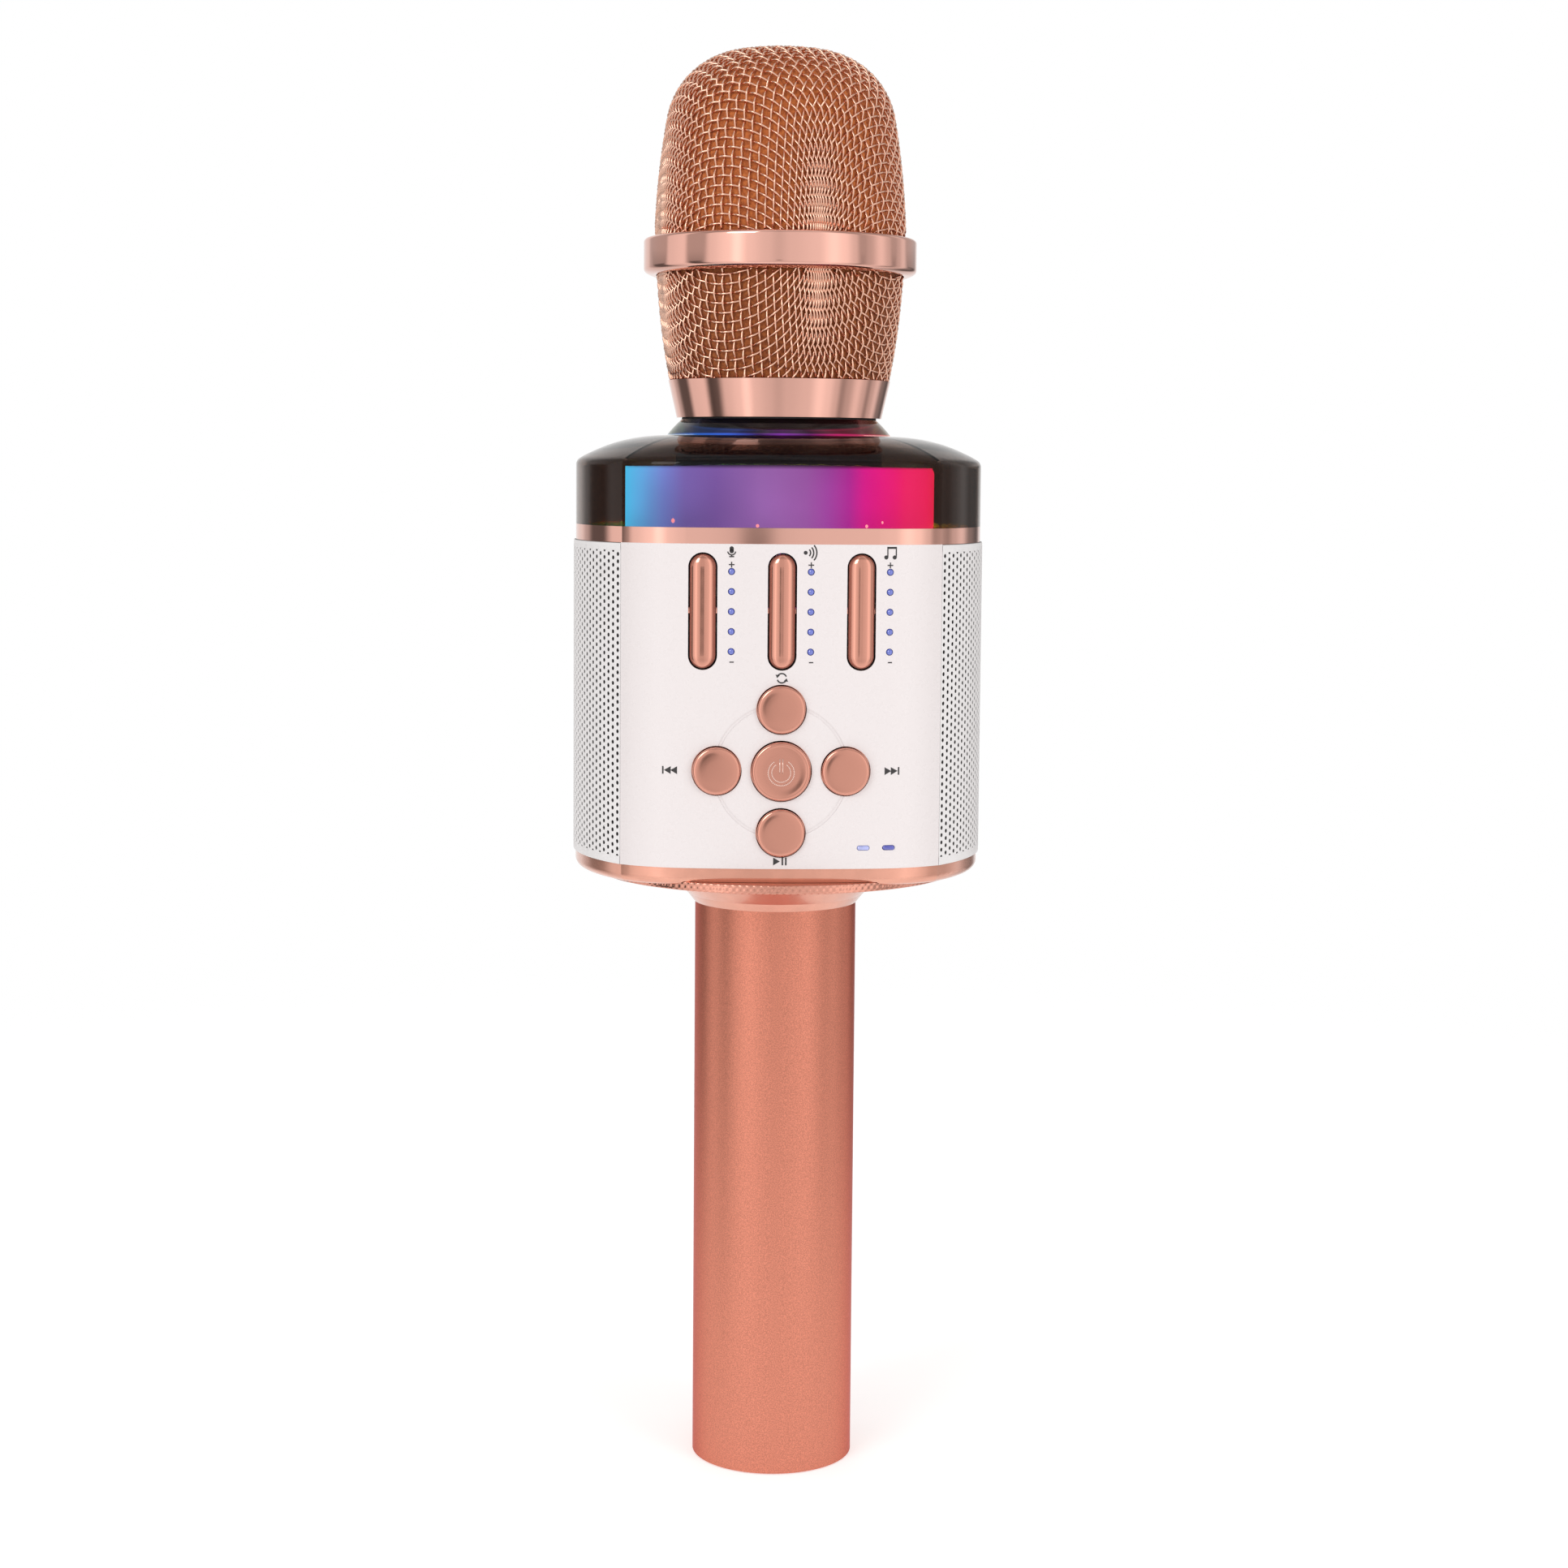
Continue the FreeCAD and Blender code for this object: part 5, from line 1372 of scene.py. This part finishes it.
def draw_note(press, centre, line):
    x, z = centre
    for side in (-0.75, 0.75):
        press.disc((x + side, z - 0.75), 0.36)
        press.bar((x + side + 0.27, z + 0.12), line * 0.85, 1.75)
    press.bar((x + 0.27, z + 0.92), 1.68, 0.36)


def draw_cycle(press, centre, line):
    """Two arcs chasing each other round a circle, each with an arrow head."""
    radius = 0.82
    for start in (20, 200):
        press.arc(centre, radius, start, start + 125, line)
        angle = math.radians(start + 150)
        out = np.array([math.cos(angle), math.sin(angle)])
        ahead = np.array([-out[1], out[0]])
        tip = np.array(centre) + radius * out
        base = tip - ahead * 0.42
        press.polygon([base - out * 0.38, base + out * 0.38, tip + ahead * 0.12])


def draw_skip(press, centre, way):
    x, z = centre
    press.triangle((x - way * 0.62, z), 1.25, way)
    press.triangle((x + way * 0.5, z), 1.25, way)
    press.bar((x + way * 1.32, z), 0.26, 1.35)


# ---------------------------------------------------------------- stage


FLOOR_RADIUS = 0.6
FADE_START, FADE_END = 0.03, 0.5  # metres from the axis over which the floor turns plain white


def make_floor():
    """A pale floor that melts into the white backdrop around it."""
    mesh = bpy.data.meshes.new("floor")
    work = bmesh.new()
    bmesh.ops.create_circle(work, cap_ends=True, radius=FLOOR_RADIUS, segments=96)
    work.to_mesh(mesh)
    work.free()
    floor = bpy.data.objects.new("floor", mesh)
    floor.location.z = -0.0002
    bpy.context.scene.collection.objects.link(floor)
    paint = Paint("floor", (0.85, 0.85, 0.85), 0.0, 0.8, Specular_IOR_Level=0.1)
    paint.set(Emission_Color=(1, 1, 1, 1), Emission_Strength=0.42)
    paint.vary_color(3, [(0.3, (0.84, 0.84, 0.84)), (0.7, (0.86, 0.86, 0.86))])
    fade = paint.span(paint.length(paint.place), FADE_START, FADE_END, interpolation_type="SMOOTHSTEP")
    clear = paint.node("BsdfTransparent").outputs[0]
    mix = paint.node("MixShader", [(0, fade), (1, paint.shader.outputs[0]), (2, clear)])
    paint.feed(paint.nodes["Material Output"].inputs["Surface"], mix.outputs[0])
    mesh.materials.append(paint.material)


def make_softbox(name, bearing, height, distance, width, tall, watts, seen=False, aim=0.16):
    """A soft area lamp at a bearing from the front, aimed at the axis."""
    angle = math.radians(bearing)
    lamp = bpy.data.lights.new(name, "AREA")
    lamp.shape = "RECTANGLE"
    lamp.size = width
    lamp.size_y = tall
    lamp.energy = watts
    light = bpy.data.objects.new(name, lamp)
    light.location = (distance * math.sin(angle), -distance * math.cos(angle), height)
    way = Vector((0, 0, aim)) - light.location
    light.rotation_euler = way.to_track_quat("-Z", "Y").to_euler()
    light.visible_glossy = seen
    bpy.context.scene.collection.objects.link(light)


# Brightness of the studio by bearing: 0 is the front and + is to its right.
STUDIO_BANDS = [
    (-180, 0.85),
    (-150, 0.80),
    (-140, 0.50),
    (-130, 0.12),
    (-118, 0.12),
    (-108, 0.85),
    (-90, 0.95),
    (-81, 0.10),
    (-73, 0.14),
    (-62, 0.90),
    (-46, 1.10),
    (-38, 1.45),
    (-28, 1.00),
    (-12, 0.84),
    (-3, 0.72),
    (8, 0.84),
    (30, 0.94),
    (44, 1.28),
    (54, 1.10),
    (64, 0.80),
    (71, 0.42),
    (79, 0.60),
    (92, 0.95),
    (102, 0.68),
    (109, 0.36),
    (116, 0.60),
    (125, 0.80),
    (137, 0.25),
    (151, 0.12),
    (163, 0.75),
    (180, 0.85),
]
# Brightness by height: the sine of the angle above the horizon.
STUDIO_HEIGHTS = [(-1.0, 0.7), (-0.5, 0.85), (-0.1, 1.0), (0.45, 1.0), (0.75, 0.6), (1.0, 0.9)]


WORLD_STRENGTH = 1.12
SOFT_GAP = 0.5  # how bright the gaps between the panels are above the horizon
# The camera and its stand, seen only as a soft dark spot in polished faces. The middle and the
# half sizes, across and up, are sines of angles.
SPOT_MIDDLE = (-0.04, -0.05)
SPOT_HALF = (0.075, 0.10)
SPOT_LEVEL = 0.35  # how bright the spot's middle still is


def make_world():
    """Soft studio light with darker gaps between its panels, and a plain white backdrop."""
    world = bpy.data.worlds.new("studio")
    bpy.context.scene.world = world
    work = NodeWork(world)
    parts = work.split(work.node("TexCoord").outputs["Generated"])
    across, back, up = (parts[axis] for axis in "XYZ")
    bands = [(degrees, (level,) * 3) for degrees, level in STUDIO_BANDS]
    bands = work.ramp(work.bearing(parts), by_turn(bands), "EASE")
    heights = [((sine + 1) / 2, (level,) * 3) for sine, level in STUDIO_HEIGHTS]
    heights = work.ramp(work.span(up, -1.0, 1.0), heights, "EASE")
    lift = work.span(up, -0.02, 0.1, 0.0, SOFT_GAP)
    level = work.math("MULTIPLY", work.math("MAXIMUM", bands, lift), heights)
    squares = []
    for way, middle, half in zip((across, up), SPOT_MIDDLE, SPOT_HALF):
        share = work.math("DIVIDE", work.math("SUBTRACT", way, middle), half)
        squares.append(work.math("MULTIPLY", share, share))
    outside = work.math("ADD", work.math("ADD", *squares), SPOT_LEVEL)
    outside = work.math("MINIMUM", outside, 1.0)
    outside = work.math("MAXIMUM", outside, work.math("GREATER_THAN", back, 0.0))
    strength = work.math("MULTIPLY", work.math("MULTIPLY", level, outside), WORLD_STRENGTH)
    studio = work.nodes["Background"]
    work.feed(studio.inputs["Color"], (1.0, 0.985, 0.975, 1))
    work.feed(studio.inputs["Strength"], strength)
    backdrop = work.node("Background", [("Color", (1, 1, 1, 1))])
    seen = work.node("LightPath").outputs["Is Camera Ray"]
    mix = work.node("MixShader", [(0, seen), (1, studio.outputs[0]), (2, backdrop.outputs[0])])
    work.feed(work.nodes["World Output"].inputs["Surface"], mix.outputs[0])


def make_stage():
    """World, lamps and floor."""
    bpy.context.scene.view_settings.view_transform = "Standard"
    make_world()
    make_floor()
    make_softbox("key", -35, 0.75, 1.1, 0.5, 0.5, 2.9, True)
    make_softbox("fill", 40, 0.5, 1.1, 0.4, 0.6, 2.0)


def make_camera():
    """A long lens at the height of the light ring, tipped down a little to frame the whole object."""
    reach = 0.5137
    height = 0.1865
    bearing = math.radians(-1.6)
    roll = math.radians(0.438)
    tip = math.radians(5.013)
    data = bpy.data.cameras.new("camera")
    data.sensor_width = 36.0
    data.lens = 63.635
    data.shift_x = 0.0046
    data.shift_y = -0.05
    data.clip_start = 0.01
    data.clip_end = 30
    camera = bpy.data.objects.new("camera", data)
    spot = Vector((reach * math.sin(bearing), -reach * math.cos(bearing), height))
    level = Matrix.Rotation(bearing, 4, "Z") @ Matrix.Rotation(math.radians(90) - tip, 4, "X")
    camera.matrix_world = Matrix.Translation(spot) @ level @ Matrix.Rotation(roll, 4, "Z")
    bpy.context.scene.collection.objects.link(camera)
    bpy.context.scene.camera = camera


make_camera()
make_stage()
dress_cad_nodes()
make_woven_head()
make_band()
make_foam()
make_perforated_wrap()
make_knurled_ring()
make_threaded_spigot()
make_level_lights()
make_status_lights()
make_keys_and_buttons()
make_panel_symbols()
make_board_parts()
make_painted_drum_glints()
